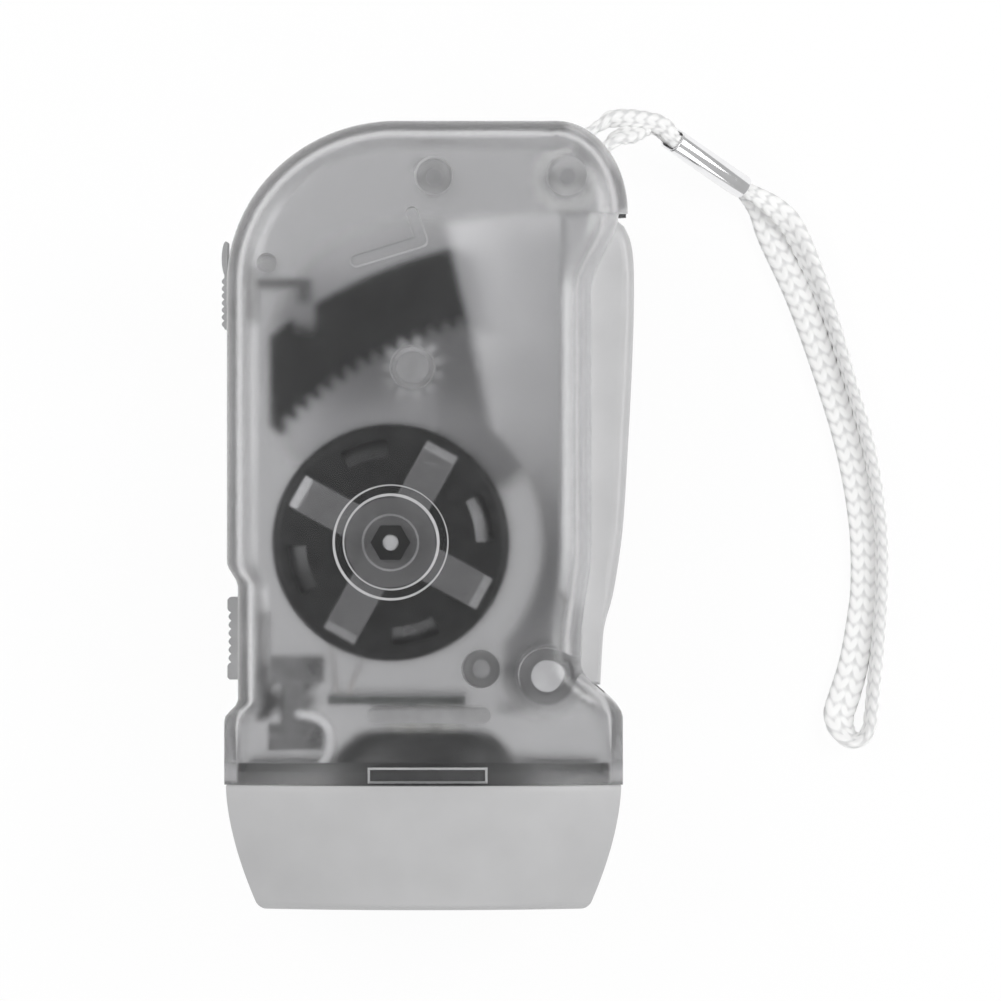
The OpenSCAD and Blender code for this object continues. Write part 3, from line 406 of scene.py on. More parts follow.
def clear(name, colour, rough, through, ior=1.45, grain=4000, depth=0.01, strength=0.5, haze=0.0, rim=0.0):
    """Clear plastic or glass that lets lamp light through, hazier where it stands steep if wanted."""
    material, tree = start_material(name)
    clearness = 1 - haze
    if rim:
        clearness = ranged(tree, levelness(tree), 1 - rim, 1 - haze, 0.2, 0.75)
    patches = noise(tree, 220, 3)
    fine = noise(tree, grain, 2)
    shader = add_node(tree, "BsdfPrincipled", Base_Color=(*colour, 1), IOR=ior, Transmission_Weight=clearness,
                      Roughness=ranged(tree, patches, rough * 0.8, rough * 1.2),
                      Normal=bumped(tree, fine, depth, strength))
    open_way = add_node(tree, "BsdfTransparent", Color=(through, through, through, 1))
    in_shadow = add_node(tree, "LightPath").outputs["Is Shadow Ray"]
    seen = blended(tree, in_shadow, shader.outputs["BSDF"], open_way.outputs["BSDF"])
    add_node(tree, "OutputMaterial", Surface=seen)
    return material


def grey(v):
    return (v, v, v * 1.01)


def paint_groove_shade(material, high, low):
    """Paint shade into the sunken parts of a braid, which carries its depth as an attribute."""
    tree = material.node_tree
    depth = add_node(tree, "Attribute")
    depth.attribute_name = "groove"
    shader = next(n for n in tree.nodes if n.bl_idname == "ShaderNodeBsdfPrincipled")
    tree.links.new(tinted(tree, depth.outputs["Fac"], high, low), shader.inputs["Base Color"])


shell_out = clear("smoky clear, outer face", grey(0.71), 0.2, 1.0, grain=6500, depth=0.025, strength=0.9,
                  haze=0.02, rim=0.12)
shell_in = clear("smoky clear, inner face", grey(0.68), 0.1, 1.0, grain=5200, depth=0.012, strength=0.6,
                 rim=0.1)
# the rear face is tinted darker than the front: painted shade of the floor under the case, seen through it
rear_out = clear("smoky clear, rear face, painted shade", grey(0.66), 0.14, 1.0, grain=6500, depth=0.02, strength=0.8,
                 haze=0.02)
step_frost = solid("smoky clear, frosted step", grey(0.52), 0.45, mottle=0.08, cloud=700)
step_soft = solid("smoky clear, soft step", grey(0.38), 0.45, mottle=0.08, cloud=700)
SHELL_LOOKS = [shell_out, shell_in, step_frost, step_soft]
OUTSIDE, INSIDE, FROST, SOFT = range(len(SHELL_LOOKS))
cap_grey = solid("satin cap plastic", grey(0.485), 0.42, mottle=0.03, cloud=160, grain=5200, depth=0.012)
# lighter copy of the lever plastic for the web inside the case: painted light, lifting the shade that the
# case and grip cast on it
web_painted_light = solid("lever web, painted light", grey(0.86), 0.5, mottle=0.03, cloud=160)
lever_grey = solid("lever plastic", grey(0.5), 0.38, mottle=0.03, cloud=160, grain=5200, depth=0.012)
button_grey = solid("button plastic", grey(0.31), 0.45, cloud=500, grain=5200, depth=0.015)
hook_grey = solid("hook plastic", grey(0.12), 0.5, mottle=0.06)
neck_dark = solid("cap neck, shaded", grey(0.05), 0.5, mottle=0.3, cloud=420)
hub_grey = solid("lever hub", grey(0.22), 0.5, mottle=0.06)
switch_dark = solid("switch plastic", grey(0.10), 0.45, mottle=0.1)
rack_dark = solid("rack plastic", grey(0.018), 0.4, mottle=0.25, cloud=250, stretch=(6, 0.5, 1))
wheel_dark = solid("flywheel metal, blackened", grey(0.02), 0.42, metal=0.3, mottle=0.25, cloud=500)
magnet_dark = solid("ferrite", (0.035, 0.033, 0.032), 0.6, mottle=0.3, cloud=900)
bush_dark = solid("bush plastic", grey(0.006), 0.35, mottle=0.2)
steel = solid("plain steel", grey(0.62), 0.28, metal=1, mottle=0.08, cloud=600, stretch=(1, 1, 6))
arm_steel = solid("sheet steel", grey(0.27), 0.38, metal=0.75, mottle=0.1, cloud=700, stretch=(1, 5, 1))
# lighter steel on the sloping faces of the folded tips and edges: a painted highlight
arm_fold_highlight = solid("sheet steel, fold with painted highlight", grey(0.4), 0.4, metal=0.5, mottle=0.1, cloud=900)
stamped_steel = solid("stator steel", grey(0.4), 0.4, metal=1, mottle=0.12, cloud=700)
tin = solid("tinned terminal", grey(0.78), 0.25, metal=0.9, mottle=0.08, cloud=900)
brass = solid("pinion brass", (0.72, 0.6, 0.36), 0.3, metal=1, mottle=0.1, cloud=900)
nylon = solid("gear nylon", grey(0.92), 0.5, mottle=0.04, cloud=300, milky=0.45)
axle_grey = solid("axle head", grey(0.35), 0.5, mottle=0.04, cloud=300)
satin = solid("satin nickel", grey(0.62), 0.5, metal=0.35, cloud=600)
rivet_dark = solid("blackened rivet", grey(0.03), 0.45, metal=0.4, mottle=0.2, cloud=600)
zinc = solid("zinc plated screw", grey(0.42), 0.5, metal=0.6, mottle=0.06, cloud=500)
slot_steel = solid("slot floor", grey(0.12), 0.3, metal=0.9, mottle=0.08, cloud=700)
bobbin_white = solid("bobbin plastic", (0.72, 0.71, 0.68), 0.5)
lead_tin = solid("tinned copper", (0.74, 0.70, 0.66), 0.35, metal=0.4, mottle=0.08, cloud=1500)
copper = solid("enamelled copper", (0.62, 0.30, 0.15), 0.3, metal=0.9, mottle=0.12, cloud=1500, coat=0.3)
board_dark = solid("lamp board", (0.085, 0.09, 0.088), 0.45, mottle=0.25, cloud=900)
mirror = solid("silvered bowl", grey(0.9), 0.08, metal=1, mottle=0.02, cloud=250, grain=900, depth=0.004)
bowl_back = solid("bowl back", grey(0.05), 0.35, mottle=0.2, cloud=300)
wire_white = solid("wire cover", grey(0.82), 0.45, cloud=900)
chrome = solid("polished crimp", grey(0.9), 0.12, metal=1, mottle=0.02, cloud=500, grain=1500, depth=0.0005,
               strength=0.1)
braid = solid("white braid", (0.90, 0.90, 0.895), 0.75, mottle=0.04, cloud=900, grain=9000, depth=0.05,
              strength=0.5)
# the braid's grooves get painted shade: a darker colour where the braid sinks
paint_groove_shade(braid, (0.94, 0.94, 0.935), (0.72, 0.72, 0.72))
lens_glass = clear("lens plastic", grey(0.97), 0.02, 0.97, ior=1.49, grain=600, depth=0.002, strength=0.3)
led_glass = clear("lamp resin", (0.97, 0.97, 0.94), 0.03, 0.95, ior=1.5, grain=900, depth=0.002,
                  strength=0.3)


# camera, floor and light

PIXEL = 0.133
PHOTO = 1001
VIEW_HEIGHT = 1400.0
CAMERA_AT = (9.64, 2.13, SEAM + VIEW_HEIGHT)
FLOOR_HALF = 4000
FLOOR_Z = -0.05
WHITE_SHARES = {"Is Camera Ray": 0.95, "Is Glossy Ray": 0.86, "Is Transmission Ray": 0.04}
DOME_LEVELS = [(0.0, 0.7), (0.08, 0.45), (0.35, 0.45), (0.55, 0.5), (0.93, 0.54), (0.975, 0.12), (1.0, 0.06)]


def make_camera():
    data = bpy.data.cameras.new("camera")
    data.sensor_width = 36
    data.lens = data.sensor_width * VIEW_HEIGHT / (PIXEL * PHOTO)
    camera = bpy.data.objects.new("camera", data)
    camera.location = [c * MM for c in CAMERA_AT]
    scene.collection.objects.link(camera)
    scene.camera = camera


def white_share(tree):
    """How much plain white each kind of ray sees: most in the open, less through clear pieces."""
    rays = add_node(tree, "LightPath")
    total = 0.0
    for kind, share in WHITE_SHARES.items():
        total = calc(tree, "MAXIMUM", total, calc(tree, "MULTIPLY", rays.outputs[kind], share))
    return total


def make_floor():
    """Pale floor, a hair below the part so that the two do not share a surface."""
    corners = [(-FLOOR_HALF, -FLOOR_HALF), (FLOOR_HALF, -FLOOR_HALF), (FLOOR_HALF, FLOOR_HALF),
               (-FLOOR_HALF, FLOOR_HALF)]
    floor = add_mesh("floor", at_height(corners, FLOOR_Z), [(0, 1, 2, 3)])
    material, tree = start_material("pale floor")
    pale = add_node(tree, "BsdfPrincipled", Base_Color=(0.92, 0.92, 0.92, 1), Roughness=0.9,
                    Specular_IOR_Level=0.1)
    white = add_node(tree, "Emission")
    seen = blended(tree, white_share(tree), pale.outputs["BSDF"], white.outputs["Emission"])
    add_node(tree, "OutputMaterial", Surface=seen)
    floor.data.materials.append(material)


def make_world():
    """White for the camera, and a soft dome for the rest: dark overhead, bright round it, grey low down."""
    world = bpy.data.worlds.new("studio")
    scene.world = world
    world.use_nodes = True
    tree = world.node_tree
    tree.nodes.clear()
    place = add_node(tree, "TexCoord").outputs["Generated"]
    ramp = add_node(tree, "ValToRGB", Fac=add_node(tree, "SeparateXYZ", Vector=place).outputs["Z"])
    while len(ramp.color_ramp.elements) < len(DOME_LEVELS):
        ramp.color_ramp.elements.new(0.5)
    for element, (at, level) in zip(ramp.color_ramp.elements, DOME_LEVELS):
        element.position = at
        element.color = (level, level, level, 1)
    dome = add_node(tree, "Background", Color=ramp.outputs["Color"])
    white = add_node(tree, "Background", Color=(1, 1, 1, 1))
    in_view = add_node(tree, "LightPath").outputs["Is Camera Ray"]
    seen = blended(tree, in_view, dome.outputs["Background"], white.outputs["Background"])
    add_node(tree, "OutputWorld", Surface=seen)


def add_lamp(name, at, size, power):
    """Square soft lamp that faces the part."""
    data = bpy.data.lights.new(name, "AREA")
    data.shape = "SQUARE"
    data.size = size * MM
    data.energy = power
    lamp = bpy.data.objects.new(name, data)
    lamp.location = [c * MM for c in at]
    aim = Vector((0, 0, SEAM * MM)) - lamp.location
    lamp.rotation_euler = aim.to_track_quat("-Z", "Y").to_euler()
    scene.collection.objects.link(lamp)


make_camera()
make_floor()
make_world()
add_lamp("key", (350, 70, 320), 240, 0.95)
add_lamp("fill", (-380, 120, 420), 360, 1.25)
add_lamp("low", (60, -520, 300), 300, 0.6)


# lanyard

HANG = np.array([BOSS_B[0], BOSS_B[1], 0])
CORD_D = 2.2
SLEEVE_LEN = 12.4
SLEEVE_T = 0.35
SLEEVE_A = HANG + np.array([14.2, 5.7, 9.4])
SLEEVE_DIR = unit((10.15, -6.75, -6.2))
SLEEVE_UP = unit(np.array([0, 0, 1]) - SLEEVE_DIR[2] * SLEEVE_DIR)
SLEEVE_SIDE = np.cross(SLEEVE_UP, SLEEVE_DIR)
LANE = CORD_D / 2 + 0.12
VIEW_FIT = 0.986
FLOOR_LIFT = 0.06


def lane_at(d, s):
    return SLEEVE_A + d * SLEEVE_DIR + s * LANE * SLEEVE_UP


def strap(name, route, step=0.16, around=44, pitch=1.85, relief=0.24):
    """Flat braid along a route of (point, turn, width, thickness), with two columns of stitches a side."""
    rows = np.array([list(p) + [turn, width, thick] for p, turn, width, thick in route], float)
    fine = bend(rows, 24)
    run = np.concatenate([[0], np.cumsum(np.linalg.norm(np.diff(fine[:, :3], axis=0), axis=1))])
    s = np.linspace(0, run[-1], int(run[-1] / step) + 1)
    rows = np.stack([np.interp(s, run, fine[:, k]) for k in range(6)], 1)
    p = rows[:, :3]
    along = np.gradient(p, axis=0)
    along /= np.linalg.norm(along, axis=1)[:, None]
    up = np.array([0, 0, 1]) - along * along[:, 2:3]
    up /= np.linalg.norm(up, axis=1)[:, None]
    side = np.cross(along, up)
    turn = np.radians(rows[:, 3])[:, None]
    wide = np.cos(turn) * side + np.sin(turn) * up
    thin = np.cos(turn) * up - np.sin(turn) * side
    a = np.arange(around) * tau / around
    across = np.sign(np.cos(a)) * np.abs(np.cos(a)) ** 0.85
    height = np.sign(np.sin(a)) * np.abs(np.sin(a)) ** 0.85
    column = 2 * np.abs(across) - 1
    half_w, half_t = rows[:, 4:5] / 2, rows[:, 5:6] / 2
    lean = np.abs(column)[None, :] * half_w / 2 * 0.9
    face = np.where(height < 0, 0.5, 0.0)[None, :]
    wave = 0.5 + 0.5 * np.cos(tau * ((s[:, None] + lean) / pitch + face))
    spine = np.exp(-((np.abs(column) - 1) / 0.2) ** 2) + 0.5 * np.exp(-(column / 0.16) ** 2)
    depth = relief * (0.62 * (1 - wave ** 0.6) + 0.38 * np.clip(spine, 0, 1)[None, :])
    across_mm = across[None, :] * (half_w - depth)
    height_mm = height[None, :] * (half_t - depth)
    rings = (p[:, None, :] + across_mm[:, :, None] * wide[:, None, :]
             + height_mm[:, :, None] * thin[:, None, :])
    obj = loft(name, rings.tolist(), sharp=180)
    groove = obj.data.attributes.new("groove", "FLOAT", "POINT")
    groove.data.foreach_set("value", (depth / relief).ravel())
    return obj, p[::6], run[-1]


def on_floor(point, turn, width, thick):
    """A route point whose braid just touches the surface under it, drawn in a little to fit the view."""
    r = radians(turn)
    lift = hypot(width / 2 * sin(r), thick / 2 * cos(r))
    x = mix(CAMERA_AT[0], HANG[0] + point[0], VIEW_FIT)
    y = mix(CAMERA_AT[1], HANG[1] + point[1], VIEW_FIT)
    return (np.array([x, y, lift + FLOOR_LIFT]), turn, width, thick)


SQUEEZED = (0, 2.3, 2.1)
LOOP_R = POST_R + CORD_D / 2 + 0.2


def eye_route():
    free = (30, 2.9, 1.8)
    edge = (90, 2.7, 1.6)
    return ([(lane_at(d, 1), *SQUEEZED) for d in (5.5, 2.5, 0)]
            + [(lane_at(-3.2, 1) + (0, 0.6, 0.2), *free),
               (HANG + (6.6, 8.2, SEAM - 1.2), 45, 2.9, 1.8),
               (HANG + (3.8, 6.8, SEAM - 0.1), *edge)]
            + [(np.array([*polar(BOSS_B, LOOP_R, a), SEAM]), *edge) for a in range(115, 356, 30)]
            + [(HANG + (5, 3.6, SEAM), *edge),
               (HANG + (6.6, 5.4, SEAM - 0.6), 60, 2.9, 1.7),
               (HANG + (8.8, 6.2, SEAM - 2.6), *free),
               (lane_at(-2.8, -1) + (0, 0.2, 0), *free)]
            + [(lane_at(d, -1), *SQUEEZED) for d in (0, 2.5, 5.5)])


def wrist_route():
    flat = [(28.2, -6.8, 3.9), (32, -14.8, 4.1), (35.6, -24.8, 4.0), (38.8, -35.6, 3.9), (40.5, -45.5, 3.8),
            (40.8, -53.8, 3.8), (40.3, -59.4, 4.0), (39.4, -65, 4.3), (38.2, -69.2, 4.5)]
    fold = [(37.4, -72, 14, 4.5), (38.1, -74.4, 42, 4.2), (39.8, -75.4, 66, 4.0), (41.3, -74.2, 74, 4.0)]
    edge = [(41.8, -71.6), (42.1, -68.4), (42.5, -64.4), (42.9, -59), (43.2, -53.6), (43, -45.4),
            (41.5, -35.6), (38.5, -25)]
    return ([(lane_at(d, -1), *SQUEEZED) for d in (6.5, 9, 12.4)]
            + [(HANG + (25.8, -3.2, 1.5), 6, 3.2, 1.6)]
            + [on_floor((x, y), 4, w, 1.5) for x, y, w in flat]
            + [on_floor((x, y), turn, w, 1.5) for x, y, turn, w in fold]
            + [on_floor((x, y), 74, 4.0, 1.5) for x, y in edge]
            + [on_floor((35.3, -15), 60, 4.0, 1.5), (HANG + (31, -6.8, 2.6), 35, 3.8, 1.5),
               (HANG + (28.2, -3.4, 3.4), 12, 3.2, 1.7)]
            + [(lane_at(d, 1), *SQUEEZED) for d in (12.8, 9, 6.5)])


def make_sleeve():
    """Crimped metal sleeve: an upright oval tube with rolled ends."""
    count = 64
    outer, inner = LANE + SLEEVE_T, LANE + 0.02

    def ring(d, r):
        out = []
        for k in range(count):
            a = tau * k / count
            lift = LANE if sin(a) >= 0 else -LANE
            x, z = r * cos(a), r * sin(a) + lift
            out.append(SLEEVE_A + d * SLEEVE_DIR + x * SLEEVE_SIDE + z * SLEEVE_UP)
        return out
    roll = SLEEVE_T / 2
    mid = (outer + inner) / 2
    turns = [pi * k / 6 for k in range(7)]
    rows = [(roll - roll * sin(a), mid - roll * cos(a)) for a in turns]
    rows += [(SLEEVE_LEN - roll + roll * sin(a), mid + roll * cos(a)) for a in turns]
    return loft("crimp_sleeve", [ring(d, r) for d, r in rows], closed=True, sharp=50)


sleeve = finish_piece(make_sleeve(), "case", "sleeve_chrome", chrome, "lanyard_sleeve")
eye_loop, eye_path, eye_len = strap("braid_eye_loop", eye_route())
finish_piece(eye_loop, "case", "braid_white", braid, "lanyard_eye_loop")
wrist_loop, wrist_path, wrist_len = strap("braid_wrist_loop", wrist_route())
finish_piece(wrist_loop, "case", "braid_white", braid, "lanyard_wrist_loop")


# outline and skin of the case, as in the CAD model: where each dip begins and the length it fades in over

THUMB_LOW, THUMB_LOW_FADE = -26.6, 2.4
THUMB_HIGH, THUMB_HIGH_FADE = -6, 3.2
SHOULDER, SHOULDER_Y, SHOULDER_FADE = 0.4, -24.5, 3
SEAT_TOP, SEAT_FADE = 1.2, 10
SEAT_LOWER, SEAT_LOWER_Y, SEAT_LOWER_FADE = 1.4, -4, 13
SEAT_END, SEAT_END_Y, SEAT_END_FADE = SEAT_IN + 0.75, -19.5, 7
DOME_Y, DOME_FADE = -19, 15


def thumb_dip(y):
    return THUMB_IN * ease((THUMB_HIGH - y) / THUMB_HIGH_FADE) * ease((y - THUMB_LOW) / THUMB_LOW_FADE)


def left_edge(y, t):
    if y >= LEFT_CY:
        return LEFT_CX - (LEFT_A - t) * sqrt(max(0, 1 - ((y - LEFT_CY) / (LEFT_B - t)) ** 2))
    return -HALF_W + thumb_dip(y) - SHOULDER * ease((SHOULDER_Y - y) / SHOULDER_FADE) + t


def seat_dip(y):
    return (SEAT_TOP + (SEAT_IN - SEAT_TOP) * ease((RIGHT_CY - y) / SEAT_FADE)
            + SEAT_LOWER * ease((SEAT_LOWER_Y - y) / SEAT_LOWER_FADE)
            - SEAT_END * ease((SEAT_END_Y - y) / SEAT_END_FADE))


def right_edge(y, t):
    if y >= RIGHT_CY:
        return RIGHT_CX + (RIGHT_A - t) * sqrt(max(0, 1 - ((y - RIGHT_CY) / (RIGHT_B - t)) ** 2))
    return HALF_W - seat_dip(y) - t


def rim(x, y, t):
    """Distance of a point from the nearer edge of the outline."""
    if y < LEFT_CY:
        left = x - left_edge(y, t)
    elif x > LEFT_CX:
        left = TOP_Y - t - y
    else:
        reach = hypot((x - LEFT_CX) / (LEFT_A - t), (y - LEFT_CY) / (LEFT_B - t))
        left = (1 - reach) * (LEFT_B - t)
    if y < RIGHT_CY:
        right = right_edge(y, t) - x
    elif x < RIGHT_CX:
        right = TOP_Y - t - y
    else:
        reach = hypot((x - RIGHT_CX) / (RIGHT_A - t), (y - RIGHT_CY) / (RIGHT_B - t))
        right = (1 - reach) * (RIGHT_A - t)
    return max(0.0, min(left, right))


def crown_rise(s, h):
    return h * (1 - min(1.0, abs(s)) ** 2.2)


def skin(x, y, t):
    """Height of the case above the seam."""
    r = EDGE_R - t
    d = min(1.0, rim(x, y, t) / r)
    left, right = left_edge(y, t), right_edge(y, t)
    flat = SEAM - EDGE_R + r * sqrt(max(0, 1 - (1 - d) ** 2))
    s = (x - (left + right) / 2) / ((right - left) / 2)
    dome = HEAD_H - t * 0.8 - CROWN + crown_rise(s, CROWN - t * 0.2)
    return mix(flat, dome, ease((DOME_Y - y) / DOME_FADE))


def stations(t):
    """Places along the case at which it is cut. Two at the right corner stand for the turns next to them."""
    step = 0.75
    plain = [JOINT_Y + step * k for k in range(int((LEFT_CY - JOINT_Y) / step))]
    left_out = (24, 27)
    angles = [radians(a) for a in range(0, 91, 3) if a not in left_out]
    turns = [LEFT_CY + (LEFT_B - t) * sin(a) for a in angles]
    return sorted(plain + turns + [RIGHT_CY - 0.06, RIGHT_CY])


def section(y, t):
    l, r, e = left_edge(y, t), right_edge(y, t), EDGE_R - t
    turn = [e * (1 - cos(radians(a))) for a in np.arange(0, 90.1, 7.5)]
    mid = [mix(l + e, r - e, k / 16) for k in range(1, 16)]
    xs = [l + d for d in turn] + mid + [r - d for d in reversed(turn)]
    return ([(l, y, SEAM_GAP)] + [(x, y, skin(x, y, t)) for x in xs] + [(r, y, SEAM_GAP)])


def half_case(name, up):
    """One hollow half of the case, with the outer look on its outside and the inner look on the rest."""
    outer = [section(y, 0) for y in stations(0)]
    inner = [section(y, WALL) for y in stations(WALL)]
    n, m = len(outer), len(outer[0])
    b = n * m
    points = [(x, y, SEAM + up * z) for rows in (outer, inner) for row in rows for x, y, z in row]
    faces = []
    for i in range(n - 1):
        for j in range(m - 1):
            k = i * m + j
            faces.append((k, k + 1, k + m + 1, k + m))
    outside = len(faces) + 1
    faces.append(tuple((n - 1) * m + j for j in range(m)))
    for i in range(n - 1):
        for j in range(m - 1):
            k = b + i * m + j
            faces.append((k, k + m, k + m + 1, k + 1))
    faces.append(tuple(b + (n - 1) * m + j for j in reversed(range(m))))
    for i in range(n - 1):
        k = i * m
        faces.append((k, k + m, b + k + m, b + k))
        k += m - 1
        faces.append((k, b + k, b + k + m, k + m))
    for j in range(m - 1):
        faces.append((j, b + j, b + j + 1, j + 1))
    top, last = (n - 1) * m, n * m - 1
    faces.append((top, last, b + last, b + top))
    obj = add_mesh(name, points, faces)
    dress(obj, SHELL_LOOKS)
    for k, face in enumerate(obj.data.polygons):
        face.material_index = OUTSIDE if k < outside else INSIDE
    return obj


def as_inner(tools):
    """Give tools the inner look of the shell, apart from those that have the shell's looks already."""
    for tool in tools:
        if shell_out in list(tool.data.materials):
            continue
        dress(tool, SHELL_LOOKS)
        for face in tool.data.polygons:
            face.material_index = INSIDE
    return tools


# what the case carries and what is cut from it

LEVER_R = float(np.linalg.norm(BOSS_B - PIVOT)) - POST_R - 2
GRIP_H = 9.4
SLOT_H = GRIP_H + 0.3
FLANK_X = HALF_W - 9.05
FOOT_R = 8.2
STEM_Y0, STEM_Y1 = LEFT_CY - 1.6, LEFT_CY + 2.2
FLOOR_X = -HALF_W + THUMB_IN
RACK_Z1 = SEAM - 1 + 4
IDLER_TOP = RACK_Z1 + 0.6
AXLE_HEAD_R = 2.15
HOOK_X = -HALF_W + 10.95
HOOK_Y = PIVOT[1] + sqrt((LEVER_R - 3.1) ** 2 - (HOOK_X - PIVOT[0]) ** 2)
PEG = np.array([-HALF_W + 5.4, HOOK_Y + 4.92])
BOARD_Y = -24.8
SCREW_BITE_R, SCREW_PASS_R, SCREW_HEAD_R = 1.12, 1.2, 2.05
PIN_SEAT_R = 2.02
AXLE_SEAT_R = 1.52
FRONT_BUSH_R, REAR_BUSH_R = 2.64, 2.62
TAB_LOW, TAB_HIGH = (-7.8, JOINT_Y + 0.3), (7.9, JOINT_Y + 2.4)
TAB_DEEP = 1.7
STATOR_POST_AT, STATOR_POST_R, STATOR_HOLE_R = 11.7, 2, 0.72
SWITCH_POST_X, SWITCH_POST_R, SWITCH_HOLE_R = -HALF_W + 11.55, 1, 0.52


def lever_opening():
    """Slot in the side wall that the lever swings in."""
    r = LEVER_R + 0.75
    x0 = FLANK_X + 0.2
    a1 = acos((x0 - PIVOT[0]) / r)
    arc = [(PIVOT[0] + r * cos(a), PIVOT[1] + r * sin(a)) for a in np.linspace(a1, 0.55, 60)]
    foot = np.linspace(0, acos((x0 - PIVOT[0]) / FOOT_R), 16)
    low = [(PIVOT[0] + FOOT_R * cos(a), PIVOT[1] - FOOT_R * sin(a)) for a in foot]
    return prism("opening", arc + [(44, PIVOT[1])] + low, SEAM - SLOT_H, SEAM + SLOT_H)


def side_openings():
    """Openings for the lever, the two sliding buttons and the lanyard."""
    c, s = cos(radians(52)), sin(radians(52))
    corners = [(2.6, -CORD_D - 1.7), (11.6, -CORD_D - 1.7), (11.6, CORD_D + 1.5), (2.6, CORD_D + 1.5)]
    hang = [(BOSS_B[0] + c * x - s * y, BOSS_B[1] + s * x + c * y) for x, y in corners]
    return [lever_opening(),
            block("opening", (-HALF_W - 2, STEM_Y0 - 3.8, SEAM - 3),
                  (-HALF_W + WALL + 3, STEM_Y1 + 0.3, SEAM + 3)),
            block("opening", (-HALF_W - 2, -20.1, SEAM - 2.5), (FLOOR_X + WALL + 1, -13.5, SEAM + 2.5)),
            prism("opening", hang, SEAM - CORD_D / 2 - 0.45, SEAM + CORD_D / 2 + 0.45)]


def stadium(a, b, width, count=12):
    """Outline of a bar with round ends, from point a to point b."""
    turn = atan2(b[1] - a[1], b[0] - a[0])
    half = np.linspace(-pi / 2, pi / 2, count)
    r = width / 2
    far = [(b[0] + r * cos(turn + t), b[1] + r * sin(turn + t)) for t in half]
    near = [(a[0] - r * cos(turn + t), a[1] - r * sin(turn + t)) for t in half]
    return far + near


def flared(outline, z0, grow, lean=(0, 0), look=FROST, drop=0.4, end=INSIDE):
    """Post or rib under the front face whose foot widens in a frosted slope, more on the side it leans to."""
    root = FRONT_IN + 0.02
    plain = np.array(outline, float)
    wide = shifted(outline, -grow) + np.array(lean)
    rows = [(plain, z0), (plain, root - drop), (wide, root), (wide, root + 0.6)]
    piece = loft("flared", [at_height(flat, z) for flat, z in rows])
    dress(piece, SHELL_LOOKS)
    m = len(outline)
    for k, face in enumerate(piece.data.polygons):
        face.material_index = look if m <= k < 2 * m else end if k == 3 * m else INSIDE
    return piece


BAR_ENDS = ((-6.8, -26.1), (BOSS_C[0] + 0.1, -26.1))
BAR_W = 2.2
L_RIB = ((-9.35, 33.72), (-0.82, 36.34), (-2.07, 39.96))
L_RIB_W = 1.45


def turned(name, center, profile, count=128, a0=0.0, a1=360.0):
    """Closed profile of (radius, height) points turned round an upright line, in full or in part."""
    full = a1 - a0 >= 360
    turns = np.radians(np.linspace(a0, a1, count + 1)[:count if full else count + 1])
    rings = []
    for a in turns:
        c, s = cos(a), sin(a)
        rings.append([(center[0] + r * c, center[1] + r * s, z) for r, z in profile])
    return loft(name, rings, closed=full)


def hub_groove():
    """Shallow ring sunk round the flywheel bush, with frosted slopes and a floor a little off centre."""
    count, off = 128, 0.09
    rows = [(5.98, 0, 0.1), (6.38, off, -0.3), (7.38, off, -0.3), (7.72, 0, 0.1)]
    rings = []
    for k in range(count):
        c, s = cos(tau * k / count), sin(tau * k / count)
        rings.append([(FLY[0] + r * c + d, FLY[1] + r * s + d, CASE_T + z) for r, d, z in rows])
    groove = loft("groove", rings, closed=True)
    dress(groove, SHELL_LOOKS)
    for face in groove.data.polygons:
        face.material_index = FROST if 0.3 < abs(face.normal[2]) < 0.9 else OUTSIDE
    return groove


def tab_recess():
    """Recess for the snap tab, with a frosted slope round its floor."""
    outline = [TAB_LOW, (TAB_HIGH[0], TAB_LOW[1]), TAB_HIGH, (TAB_LOW[0], TAB_HIGH[1])]
    slope = 0.3
    rows = [(0, FRONT_IN - 3), (0, CASE_T - TAB_DEEP - slope), (slope, CASE_T - TAB_DEEP)]
    recess = loft("recess", [at_height(shifted(outline, d) if d else outline, z) for d, z in rows])
    dress(recess, SHELL_LOOKS)
    for k, face in enumerate(recess.data.polygons):
        face.material_index = FROST if 4 <= k < 8 else INSIDE
    return recess


